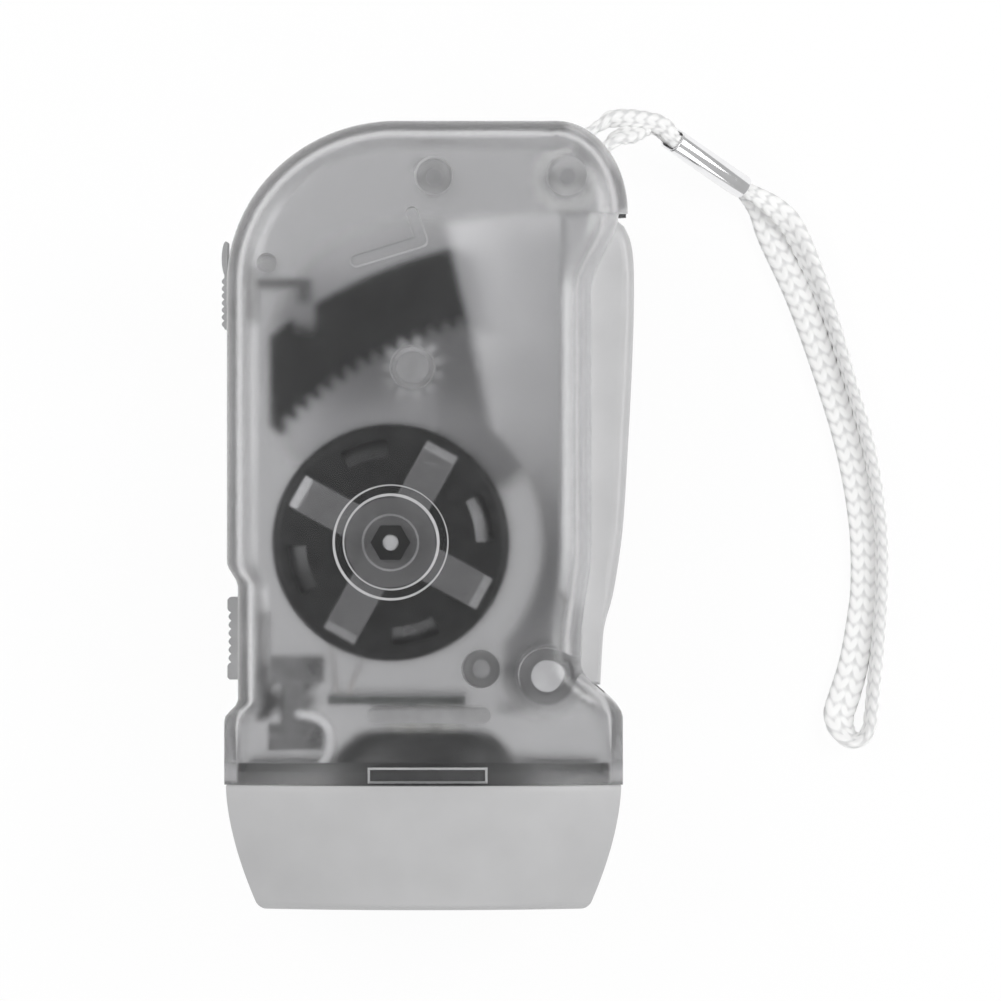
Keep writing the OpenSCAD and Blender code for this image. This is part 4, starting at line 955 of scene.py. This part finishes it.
def make_front_shell():
    root = FRONT_IN + 0.6
    low = SEAM + SEAM_GAP
    shell = half_case("front_shell_skin", 1)
    joined = [flared(circle(BOSS_A, POST_R), low, 0.16, (-0.11, 0.11), FROST, 0.2, SOFT),
              flared(circle(BOSS_B, POST_R + 0.15), low, 0.08, (-0.06, 0.05), SOFT, 0.4, FROST),
              flared(circle(BOSS_C, POST_R + 0.1), low, 0.12, (-0.08, -0.08), SOFT, 0.4, FROST),
              flared(circle(PEG, 1.25), low, 0.08, (-0.05, 0.05), SOFT, 0.4, SOFT),
              flared(circle(IDLER, AXLE_HEAD_R + 0.7), IDLER_TOP + 0.3, 0.15, look=SOFT),
              flared(circle(PIVOT, 3.6, 64), SEAM + GRIP_H + 0.3, 0.14, (-0.05, -0.05)),
              flared(circle(FLY, 3.5, 64), FRONT_IN - 1.8, 0.3, look=SOFT)]
    collar = post("collar", FLY, 7.5, FRONT_IN - 1, root, 96)
    hollow = post("hollow", FLY, 6.2, FRONT_IN - 2, FRONT_IN + 0.1, 96)
    joined.append(combine(collar, [hollow], "DIFFERENCE"))
    joined += [flared(stadium(L_RIB[0], L_RIB[1], L_RIB_W), FRONT_IN - 5, 0.15, (0.06, -0.09), FROST, 0.2),
               flared(stadium(L_RIB[2], L_RIB[1], L_RIB_W), FRONT_IN - 5, 0.15, (0.09, -0.03), FROST, 0.2),
               flared(stadium(*BAR_ENDS, BAR_W), FRONT_IN - 8, 0.2, (0.05, -0.08), FROST, 0.2, SOFT)]
    cut = [post("hole", p, SCREW_BITE_R, SEAM - 1, SEAM + 9) for p in (BOSS_A, BOSS_B, BOSS_C)]
    cut += [post("hole", IDLER, AXLE_HEAD_R + 0.02, IDLER_TOP - 1, FRONT_IN - 2),
            post("hole", PIVOT, PIN_SEAT_R, SEAM, FRONT_IN - 1),
            post("hole", FLY, FRONT_BUSH_R, FRONT_IN - 2, FRONT_IN + 1, 6), tab_recess()]
    combine(shell, as_inner(joined), "UNION")
    combine(shell, as_inner(cut + side_openings()) + [hub_groove()], "DIFFERENCE")
    soften(shell)
    return finish_piece(shell, "case", "smoke_clear", SHELL_LOOKS, "front_shell")


def make_rear_shell():
    root = WALL - 0.6
    high = SEAM - SEAM_GAP
    stator_posts = [polar(FLY, STATOR_POST_AT, a) for a in (200, 270, 340)]
    switch_posts = [(SWITCH_POST_X, y) for y in (-20.2, -29)]
    shell = half_case("rear_shell_skin", -1)
    joined = []
    for p in (BOSS_A, BOSS_B, BOSS_C):
        joined += [post("boss", p, POST_R, root, high), post("foot", p, 3, root, WALL + 3.5)]
    joined += [post("pad", IDLER, 3, root, 3.4), post("hub", PIVOT, 3.7, root, SEAM - GRIP_H - 0.3),
               post("pad", FLY, 4.2, root, WALL + 1)]
    joined += [post("stand", p, STATOR_POST_R, root, 10.2) for p in stator_posts]
    joined += [post("stand", p, SWITCH_POST_R, SEAM - skin(*p, 0) + 0.9, SEAM + 5) for p in switch_posts]
    joined += [post("stop", PIVOT + (-5.27, -3.4), 0.9, root, 10.1),
               prism("bar", stadium(*BAR_ENDS, BAR_W), WALL - 0.4, WALL + 7.6)]
    cut = []
    for p in (BOSS_A, BOSS_B, BOSS_C):
        cut += [post("hole", p, SCREW_PASS_R, -1, SEAM + 1), post("hole", p, SCREW_HEAD_R, -1, WALL + 1.6)]
    cut += [post("hole", IDLER, AXLE_SEAT_R, 0.9, SEAM), post("hole", PIVOT, PIN_SEAT_R, 1, SEAM),
            post("hole", FLY, REAR_BUSH_R, 0.9, SEAM)]
    cut += [post("hole", p, STATOR_HOLE_R, WALL + 2, SEAM) for p in stator_posts]
    cut += [post("hole", p, SWITCH_HOLE_R, SEAM, SEAM + 6) for p in switch_posts]
    cut.append(block("hole", (*TAB_LOW, TAB_DEEP), (*TAB_HIGH, WALL + 3)))
    combine(shell, as_inner(joined), "UNION")
    combine(shell, as_inner(cut + side_openings()), "DIFFERENCE")
    soften(shell)
    finish_piece(shell, "case", "smoke_clear", SHELL_LOOKS, "rear_shell")
    # darker rear tint on the outside: painted shade
    shell.data.materials[OUTSIDE] = rear_out
    return shell


make_front_shell()
make_rear_shell()


# lamp head

JOINT_L, JOINT_R = left_edge(JOINT_Y, 0), right_edge(JOINT_Y, 0)
JOINT_MID, JOINT_HALF = (JOINT_L + JOINT_R) / 2, (JOINT_R - JOINT_L) / 2
LENS_W = 2 * (JOINT_HALF * (1 - HEAD_TAPER) - 2.98)
LENS_H = 21.5
LENS_BACK = LENS_Y + 3.2
LIP = 1.0
CAP_OUTER, CAP_INNER = 0.2, 3.4
NECK_LEN = 3
CAP_LOOKS = [cap_grey, neck_dark, shell_in]
TAB_GAP = 0.4


def head_ring(y, sx, t, count=60):
    """Closed loop round the head, from its left edge over the front and back again."""
    hx = JOINT_HALF * sx - t
    swell = mix(1, sx, 1.2)
    hz = (HEAD_H - CROWN) * swell - t * 0.8
    rise = (CROWN - t * 0.2) * swell
    xs = [-hx * cos(pi * k / count) for k in range(count + 1)]
    sides = [0.75, 0.5, 0.25, 0, -0.25, -0.5, -0.75]
    over = [(JOINT_MID + x, y, SEAM + hz + crown_rise(x / hx, rise)) for x in xs]
    right = [(JOINT_MID + hx, y, SEAM + hz * f) for f in sides]
    under = [(JOINT_MID + x, y, SEAM - hz - crown_rise(x / hx, rise)) for x in reversed(xs)]
    left = [(JOINT_MID - hx, y, SEAM - hz * f) for f in sides]
    return over + right + under + left


def oval(w, h, a, e):
    c, s = cos(a), sin(a)
    return (w / 2 * copysign(abs(c) ** (2 / e), c), h / 2 * copysign(abs(s) ** (2 / e), s))


def across_head(points, y):
    """Flat points set upright across the head, round its middle."""
    return [(HEAD_X + p[0], y, SEAM + p[1]) for p in points]


def lens_ring(y, grow):
    """Loop round the lens, with as many points as a loop round the head."""
    w, h = LENS_W + grow, LENS_H + grow
    turns = [atan2((z - SEAM) * w / h * 1.4, x - JOINT_MID) for x, _, z in head_ring(y, 1, 0)]
    return across_head([oval(w, h, a, 2.6) for a in turns], y)


def cap_scale(t):
    return 1 - HEAD_TAPER * max(0.0, t) ** 1.7


def make_cap():
    """Lamp head cap with its neck inside the case, the lens seat and two snap tabs."""
    inset = WALL + 0.25
    rings = [head_ring(JOINT_Y + NECK_LEN, 1, inset + 0.15), head_ring(JOINT_Y + 2.85, 1, inset),
             head_ring(JOINT_Y + 1.75, 1, inset), head_ring(JOINT_Y, 1, inset),
             head_ring(JOINT_Y, 1, 0.42), head_ring(JOINT_Y - 0.08, 1, 0.27),
             head_ring(JOINT_Y - 0.25, cap_scale(0.015), CAP_OUTER)]
    rings += [head_ring(JOINT_Y - HEAD_LEN * t, cap_scale(t), CAP_OUTER) for t in np.arange(0.06, 0.93, 0.06)]
    for a in np.radians(np.arange(0, 91, 15)):
        y = LENS_Y + LIP * (1 - sin(a))
        t = (JOINT_Y - y) / HEAD_LEN
        rings.append(head_ring(y, cap_scale(t), CAP_OUTER + LIP * (1 - cos(a))))
    rings += [lens_ring(LENS_Y, -2.6), lens_ring(LENS_Y + 0.25, -3), lens_ring(LENS_Y + 1.6, -4),
              lens_ring(LENS_Y + 1.6, 0.8), lens_ring(LENS_BACK, 0.8),
              head_ring(LENS_BACK, cap_scale(0.8), 2.0)]
    rings += [head_ring(JOINT_Y - HEAD_LEN * t, cap_scale(t), CAP_INNER) for t in (0.55, 0.3, 0)]
    rings.append(head_ring(JOINT_Y + NECK_LEN, 1, CAP_INNER))
    cap = loft("lamp_cap", rings, closed=True)
    left, right = TAB_LOW[0] + TAB_GAP, TAB_HIGH[0] - TAB_GAP
    tabs = [block("tab", (left, JOINT_Y + 0.6, z), (right, JOINT_Y + 2.1, z + 1.9))
            for z in (CASE_T - 3.9, 2)]
    combine(cap, tabs, "UNION")
    soften(cap, 30)
    finish_piece(cap, "case", "cap_grey", CAP_LOOKS, "head_cap")
    for face in cap.data.polygons:
        y = face.center[1] / MM - JOINT_Y
        look = cap_grey if y < 0.02 else neck_dark if y < 1.74 else shell_in
        face.material_index = CAP_LOOKS.index(look)
    return cap


BOWL_Y = -28.4
BOWL_R = 7.2
LAMP_AT, LAMP_HOLE_R = 3.3, 2.5


def bowl_ring(t, grow, count=72):
    s = sqrt(t)
    w = mix(2 * BOWL_R, LENS_W - 0.6, s) + 2 * grow
    h = mix(2 * BOWL_R, LENS_H - 0.6, s) + 2 * grow
    y = mix(BOWL_Y, LENS_BACK + 0.05, t)
    return across_head([oval(w, h, tau * k / count, 2 + 0.6 * s) for k in range(count)], y)


def make_reflector():
    """Silvered bowl with a dark outside and a hole for each lamp."""
    steps = [(k / 14) ** 2 for k in range(15)]
    rings = [bowl_ring(t, -0.9) for t in steps] + [bowl_ring(t, 0) for t in reversed(steps)]
    bowl = loft("reflector_bowl", rings, closed=True)
    disc = circle((0, 0), BOWL_R - 0.4)
    combine(bowl, [loft("floor_disc", [across_head(disc, y) for y in (BOWL_Y, BOWL_Y - 1)])], "UNION")
    holes = []
    for a in (90, 210, 330):
        hole = circle(polar((0, 0), LAMP_AT, a), LAMP_HOLE_R)
        holes.append(loft("hole", [across_head(hole, y) for y in (BOWL_Y + 2, BOWL_Y - 3)]))
    combine(bowl, holes, "DIFFERENCE")
    soften(bowl, 40)
    finish_piece(bowl, "case", "reflector_silver", [mirror, bowl_back], "reflector")
    for face in bowl.data.polygons:
        c = face.center / MM
        t = min(1, max(0, (BOWL_Y - c[1]) / (BOWL_Y - LENS_BACK - 0.05)))
        s = sqrt(t)
        reach = hypot((c[0] - HEAD_X) / mix(BOWL_R, LENS_W / 2 - 0.3, s),
                           (c[2] - SEAM) / mix(BOWL_R, LENS_H / 2 - 0.3, s))
        face.material_index = 1 if reach > 0.985 or face.normal[1] > 0.9 else 0
    return bowl


make_cap()
make_reflector()


# lever

GRIP_EDGE = [(-3.6, -22.2), (-3.25, -16), (-2.85, -13.6), (-2, -10.6), (-1.2, -6), (-0.5, 0), (0.2, 12),
             (0.75, 24), (0.85, 31), (0.7, 34.6), (0.25, 36.8), (-0.65, 38.7)]
GRIP_ROUND = 1.6
GRIP_WALL = 1.8
DRIVE_DIR = degrees(atan2(*(IDLER - PIVOT)[::-1]))
WEB_EDGE = DRIVE_DIR - 10.9
WEB_Z0, WEB_Z1 = SEAM - 4, SEAM - 1
SECTOR_PR = LEVER_R - 3.5 - 10.1
SECTOR_END_X = -HALF_W + 5.45


def grip_outline(d):
    return [(HALF_W + x - d, y) for x, y in bend(GRIP_EDGE, 4)]


def make_lever():
    """Squeeze lever: a channel for the fingers, a web with the sector's arm and a hub on the pin."""
    reach = [p for p in grip_outline(0) if dist(p, PIVOT) < LEVER_R - 1.2]
    top = [polar(PIVOT, LEVER_R, a) for a in (82.2, 85.2, 88.2)]
    foot = [(HALF_W - 6.5, -12.6), (HALF_W - 6.4, -16), (HALF_W - 6.8, -22.2)]
    plan = reach + top + [(FLANK_X, -9.6)] + foot
    fade = np.array([mix(0.3, 1, ease((y + 16) / 10)) for _, y in plan])
    rows = []
    for k in range(6):
        t = pi / 2 * k / 5
        rows.append((GRIP_ROUND * (1 - cos(t)), GRIP_H - GRIP_ROUND * (1 - sin(t))))
    rings = []
    for side, order in ((-1, reversed(rows)), (1, rows)):
        for d, h in order:
            rings.append(at_height(shifted(plan, d * fade[:, None]), SEAM + side * h))
    grip = loft("lever_skin", rings)
    hollow_edge = [p for p in grip_outline(2.2) if p[1] > -11 and dist(p, PIVOT) < LEVER_R - 0.4]
    hollow = hollow_edge + [(hollow_edge[-1][0] - 0.4, 48), (FLANK_X - 4, 48), (FLANK_X - 4, -14),
                            (HALF_W - 5.6, -14)]
    hollow_h = GRIP_H - GRIP_WALL
    combine(grip, [prism("hollow", hollow, SEAM - hollow_h, SEAM + hollow_h)], "DIFFERENCE")
    arm_in, arm_out = SECTOR_PR + 3.9, LEVER_R - 4.5
    right = [p for p in grip_outline(0.5) if dist(p, PIVOT) < LEVER_R - 0.6]
    web = [tuple(PIVOT + (-5.6, 3.4)), tuple(PIVOT + (-3.4, -2))] + right
    web += [polar(PIVOT, LEVER_R, a) for a in np.linspace(81.4, WEB_EDGE, 16)]
    web.append(polar(PIVOT, 24, WEB_EDGE))
    plate = prism("web", web, WEB_Z0, WEB_Z1, 0.25, 2)
    combine(plate, [post("round", FLY, 20, WEB_Z0 - 1, WEB_Z1 + 1, 128)], "DIFFERENCE")
    arc = np.linspace(WEB_EDGE - 1, 134, 30)
    arm = [polar(PIVOT, arm_out, a) for a in arc] + [polar(PIVOT, arm_in, a) for a in reversed(arc)]
    sector_arm = prism("arm", arm, WEB_Z0 + 0.001, WEB_Z1 - 0.001, 0.25, 2)
    beyond = block("end", (SECTOR_END_X - 29.2, -20, 0), (SECTOR_END_X + 0.8, 60, 40))
    combine(sector_arm, [beyond], "DIFFERENCE")
    combine(grip, [plate, sector_arm, post("boss", PIVOT, 5.8, WEB_Z0, WEB_Z1, 64),
                   post("hub", PIVOT, 4, SEAM - GRIP_H, SEAM + GRIP_H, 64),
                   post("stop", PIVOT + (6.1, 6.4), 0.9, 10.0, WEB_Z0 + 0.2)], "UNION")
    holes = [post("bore", PIVOT, 2.04, 0, CASE_T, 64)]
    holes += [post("hole", polar(PIVOT, SECTOR_PR + 6.6, DRIVE_DIR + a), 1.12, 0, CASE_T) for a in (-7, 4)]
    combine(grip, holes, "DIFFERENCE")
    clean(grip)
    soften(grip)
    for face in grip.data.polygons:
        face.use_smooth = abs(face.normal[2]) < 0.9995
    even_shading(grip)
    finish_piece(grip, "lever", "lever_grey", [lever_grey, hub_grey, web_painted_light], "lever")
    for face in grip.data.polygons:
        c = face.center / MM
        on_hub = dist(c[:2], PIVOT) < 4.1 and c[2] > WEB_Z1 + 0.5
        # web faces take the lighter copy of the lever plastic: painted light
        on_web = WEB_Z1 - 0.3 < c[2] < WEB_Z1 + 0.05
        face.material_index = 1 if on_hub else 2 if on_web else 0
    return grip


make_lever()


# sliding buttons on the left side

def scallops(x, depth, y0, y1, count, per=6):
    """Rounded ridges along a line, from y1 down to y0."""
    last = per * count
    return [(x - depth * abs(sin(pi * k / per)), mix(y1, y0, k / last)) for k in range(last + 1)]


def make_lock_button():
    """Thumb button of the lever lock: a swelling above, ridges below and a stem through the wall."""
    base, plate = -HALF_W - 0.1, -HALF_W - 0.5
    y0, y1 = LEFT_CY - 6, LEFT_CY + 6.4
    swell = [(plate - 0.35 * sin(pi * t) ** 0.7, mix(y1 - 0.9, y1 - 5.2, t))
             for t in np.linspace(0, 1, 14)]
    outline = ([(base, y0), (base, y1 - 0.8), (base - 0.25, y1 - 0.75)] + swell
               + scallops(plate, 0.35, y0 + 0.2, y0 + 6.8, 7) + [(plate, y0 + 0.05)])
    button = prism("lock_slider", outline, SEAM - 5.5, SEAM + 5.5)
    stem = block("stem", (-HALF_W - 0.3, STEM_Y0, SEAM - 2.7), (-HALF_W + WALL + 0.25, STEM_Y1, SEAM + 2.7))
    combine(button, [stem], "UNION")
    soften(button, 40)
    return finish_piece(button, "lock", "lock_grey", button_grey, "lock_button")


def make_switch_button():
    """Thumb button of the lamp switch: ridges between two raised ends and a stem through the wall."""
    base, plate, tip = FLOOR_X - 0.12, FLOOR_X - 1.05, FLOOR_X - 1.55
    y0, y1 = -21.6, -10.7
    outline = ([(base, y0), (base, y1), (tip + 0.3, y1), (tip, y1 - 0.3), (tip, y1 - 1.5),
                (tip + 0.15, y1 - 1.8)]
               + scallops(plate, 0.36, y0 + 2.3, y1 - 2.0, 6)
               + [(tip + 0.15, y0 + 2.1), (tip, y0 + 1.8), (tip, y0 + 0.3), (tip + 0.3, y0)])
    button = prism("switch_slider", outline, SEAM - 5, SEAM + 5)
    stem = block("stem", (FLOOR_X - 0.4, -17.8, SEAM - 2.2), (FLOOR_X + WALL + 0.15, -13.8, SEAM + 2.2))
    combine(button, [stem], "UNION")
    soften(button, 40)
    return finish_piece(button, "lamp_switch", "switch_grey", button_grey, "switch_button")


make_lock_button()
make_switch_button()


# flywheel, clutch arms, spring and wires

FLY_R = 15.7
FLY_Z1 = FRONT_IN - 3.6
SHAFT_BORE = 1.07
WHEEL_LOOKS = [wheel_dark, slot_steel]
SLOT_ANGLES = (14.5, 106, 196, 285)


def make_flywheel():
    """Heavy wheel: a disc with a skirt round the magnet, a hub and four sloping slots in its face."""
    z0, disc, top = 14.4, FLY_Z1 - 2.8, FLY_Z1
    rim_r, skirt_in, hub_r, hub_z = 1.2, FLY_R - 2.68, 3.2, 21.7
    rounded = [polar((FLY_R - rim_r, top - rim_r), rim_r, a) for a in (0, 22, 45, 68, 90)]
    profile = ([(SHAFT_BORE, hub_z), (hub_r, hub_z), (hub_r, disc), (skirt_in, disc), (skirt_in, z0),
                (FLY_R - 0.3, z0), (FLY_R, z0 + 0.3)] + rounded + [(SHAFT_BORE, top)])
    wheel = turned("flywheel_disc", FLY, profile)
    slot_in, slot_out, half_turn = FLY_R - 4.5, FLY_R - 2.1, 14
    wedge = [(slot_in, top + 0.2), (slot_in, top - 0.1), (slot_out, top - 1.3), (slot_out, top + 0.2)]
    slots = []
    for mid in SLOT_ANGLES:
        slot = turned("slot", FLY, wedge, 20, mid - half_turn, mid + half_turn)
        dress(slot, WHEEL_LOOKS)
        for face in slot.data.polygons:
            face.material_index = WHEEL_LOOKS.index(slot_steel)
        slots.append(slot)
    dress(wheel, WHEEL_LOOKS)
    combine(wheel, slots, "DIFFERENCE")
    soften(wheel, 32)
    return finish_piece(wheel, "rotor", "flywheel_dark", WHEEL_LOOKS, "flywheel")


def make_clutch_arms():
    """Stamped plate with four arms whose tips are folded down towards the wheel."""
    plate = post("clutch_plate", FLY, 6, FLY_Z1, FLY_Z1 + 0.97, 64)
    reach, half, fold, drop, edge = FLY_R - 1.6, 2.3, 1.1, 0.6, 0.12
    tops = [(-reach, 1 - drop), (-reach + fold, 0.96), (-reach + fold + 0.3, 1), (reach - fold - 0.3, 1),
            (reach - fold, 0.96), (reach, 1 - drop)]
    for a, sink in ((61, 0), (151, 0.015)):
        c, s = cos(radians(a)), sin(radians(a))
        rings = []
        for x, top in tops:
            top -= sink
            row = [(-half, sink), (half, sink), (half, top - edge), (half - edge, top), (-half + edge, top),
                   (-half, top - edge)]
            rings.append([(FLY[0] + c * x - s * y, FLY[1] + s * x + c * y, FLY_Z1 + z) for y, z in row])
        combine(plate, [loft("arm", rings)], "UNION")
    combine(plate, [post("bore", FLY, SHAFT_BORE, 0, CASE_T)], "DIFFERENCE")
    clean(plate)
    soften(plate, 20)
    finish_piece(plate, "rotor", "arm_steel", [arm_steel, arm_fold_highlight], "clutch_arms")
    for face in plate.data.polygons:
        # sloping faces take the lighter steel: painted highlight
        face.material_index = 1 if 0.3 < face.normal[2] < 0.98 else 0
    return plate


def make_spring():
    """Torsion spring round the hub: one leg on the case, the other on the lever."""
    r, d, pitch, turns = 4.75, 0.8, 1.25, 3
    z = SEAM - GRIP_H + 0.1 + d / 2
    a = np.radians(np.arange(270, 360 + 360 * turns + 1, 6))
    helix = np.stack([PIVOT[0] + r * np.cos(a), PIVOT[1] + r * np.sin(a),
                      z + pitch * (a - radians(270)) / tau], 1)
    top = helix[-1][2]
    path = np.vstack([[PIVOT[0] - 6.37, PIVOT[1] - r, z], [PIVOT[0] - 3, PIVOT[1] - r, z], helix,
                      [PIVOT[0] + r, PIVOT[1] + 3, top], [PIVOT[0] + r, PIVOT[1] + 7.4, top]])
    spring = tube("torsion_spring", path, d / 2, 14)
    spring.data.materials.append(steel)
    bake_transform(spring)
    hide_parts("return_spring")


def make_coil():
    """Outer layer of the winding, one unbroken wire."""
    z0, z1, turns, wire, r = 12.85, 18.75, 20, 0.26, 7.25
    a = np.linspace(0, tau * turns, 36 * turns)
    path = np.stack([FLY[0] + r * np.cos(a), FLY[1] + r * np.sin(a), z0 + (z1 - z0) * a / a[-1]], 1)
    return finish_piece(tube("coil_wire", path, wire / 2, 8), "case", "coil_copper", copper, "coil_winding")


def make_leads():
    """Two fine wires from the coil to the lamp board."""
    board = np.array([-HALF_W + 13.25, BOARD_Y + 1.2, SEAM])
    fly = np.array([FLY[0], FLY[1], 11.4])
    routes = [[fly + (-0.77, -9.21, 0.26), fly + (-1.77, -10.16, 0.5), fly + (-2.47, -11.76, 1),
               fly + (-3.57, -14.16, 1.6), fly + (-4.2, -15.9, 1.9), board + (3.9, 3.2, 2.5),
               board + (3.2, 1.6, 6.2), board + (2.8, 0.25, 6.8)],
              [fly + (-6.91, -6.22, 0.26), fly + (-7.77, -8.56, 0.6), fly + (-8.07, -11.56, 1.2),
               fly + (-7.97, -14.56, 1.8), board + (0.8, 2.6, 2.5), board + (1, 1, 5.6),
               board + (1.2, 0.25, 6.2)]]
    pair = [tube("coil_lead_wires", bend(route, 12), 0.18, 10) for route in routes]
    combine(pair[0], [pair[1]], "UNION")
    soften(pair[0], 60)
    return finish_piece(pair[0], "case", "coil_copper", lead_tin, "coil_leads")


def make_lamp_wire():
    """White wire from the top of the switch down into the head."""
    start = np.array([-HALF_W + 10.45, 0, SEAM + 5.8])
    bends = [(-0.9, -26.1, 0.01), (-0.9, -26.1, 0.5), (-0.9, -26.1, 1), (-0.2, -26.15, 2),
             (1.3, -26.5, 2.3), (2.7, -27.6, 2.5), (3.35, -29.6, 2.5), (2.9, -31.8, 2.4), (1.5, -33.6, 2.2),
             (0.2, -35.2, 1.6), (-0.4, -37, 0.6), (-0.6, -39, -0.6)]
    wire = tube("lamp_wire_cover", bend([start + b for b in bends], 12), 0.62, 16)
    return finish_piece(wire, "case", "wire_white", wire_white, "lamp_wire")


make_flywheel()
make_clutch_arms()
make_spring()
make_coil()
make_leads()
make_lamp_wire()


# CAD nodes that stay in view: material and width of the broken edge

KEPT = {
    "case_screws": (zinc, 0.12), "lens": (lens_glass, 0.2), "led_board": (board_dark, 0.1),
    "leds": (led_glass, 0), "sector_rack": (rack_dark, 0.12), "rack_rivets": (rivet_dark, 0.12),
    "lever_pin": (satin, 0.2), "idler_gear": (nylon, 0), "idler_axle": (axle_grey, 0.15),
    "idler_washer": (steel, 0.05), "ring_magnet": (magnet_dark, 0.15), "fly_shaft": (satin, 0.2),
    "fly_pinion": (brass, 0), "front_bush": (bush_dark, 0.15), "rear_bush": (brass, 0.1),
    "stator_plate": (stamped_steel, 0.1), "stator_cap": (stamped_steel, 0.1), "stator_screws": (steel, 0.1),
    "coil_bobbin": (bobbin_white, 0.1), "coil_core": (copper, 0), "lock_hook": (hook_grey, 0.15),
    "switch_carriage": (hook_grey, 0.15), "switch_peg": (hub_grey, 0.1), "switch_body": (switch_dark, 0.15),
    "switch_frame": (stamped_steel, 0.1), "switch_screws": (steel, 0.08), "switch_terminals": (tin, 0.06),
}
for name, (material, edge) in KEPT.items():
    dress(nodes[name], [material])
    soften(nodes[name], 30)
    if edge:
        bevel_node(name, edge)
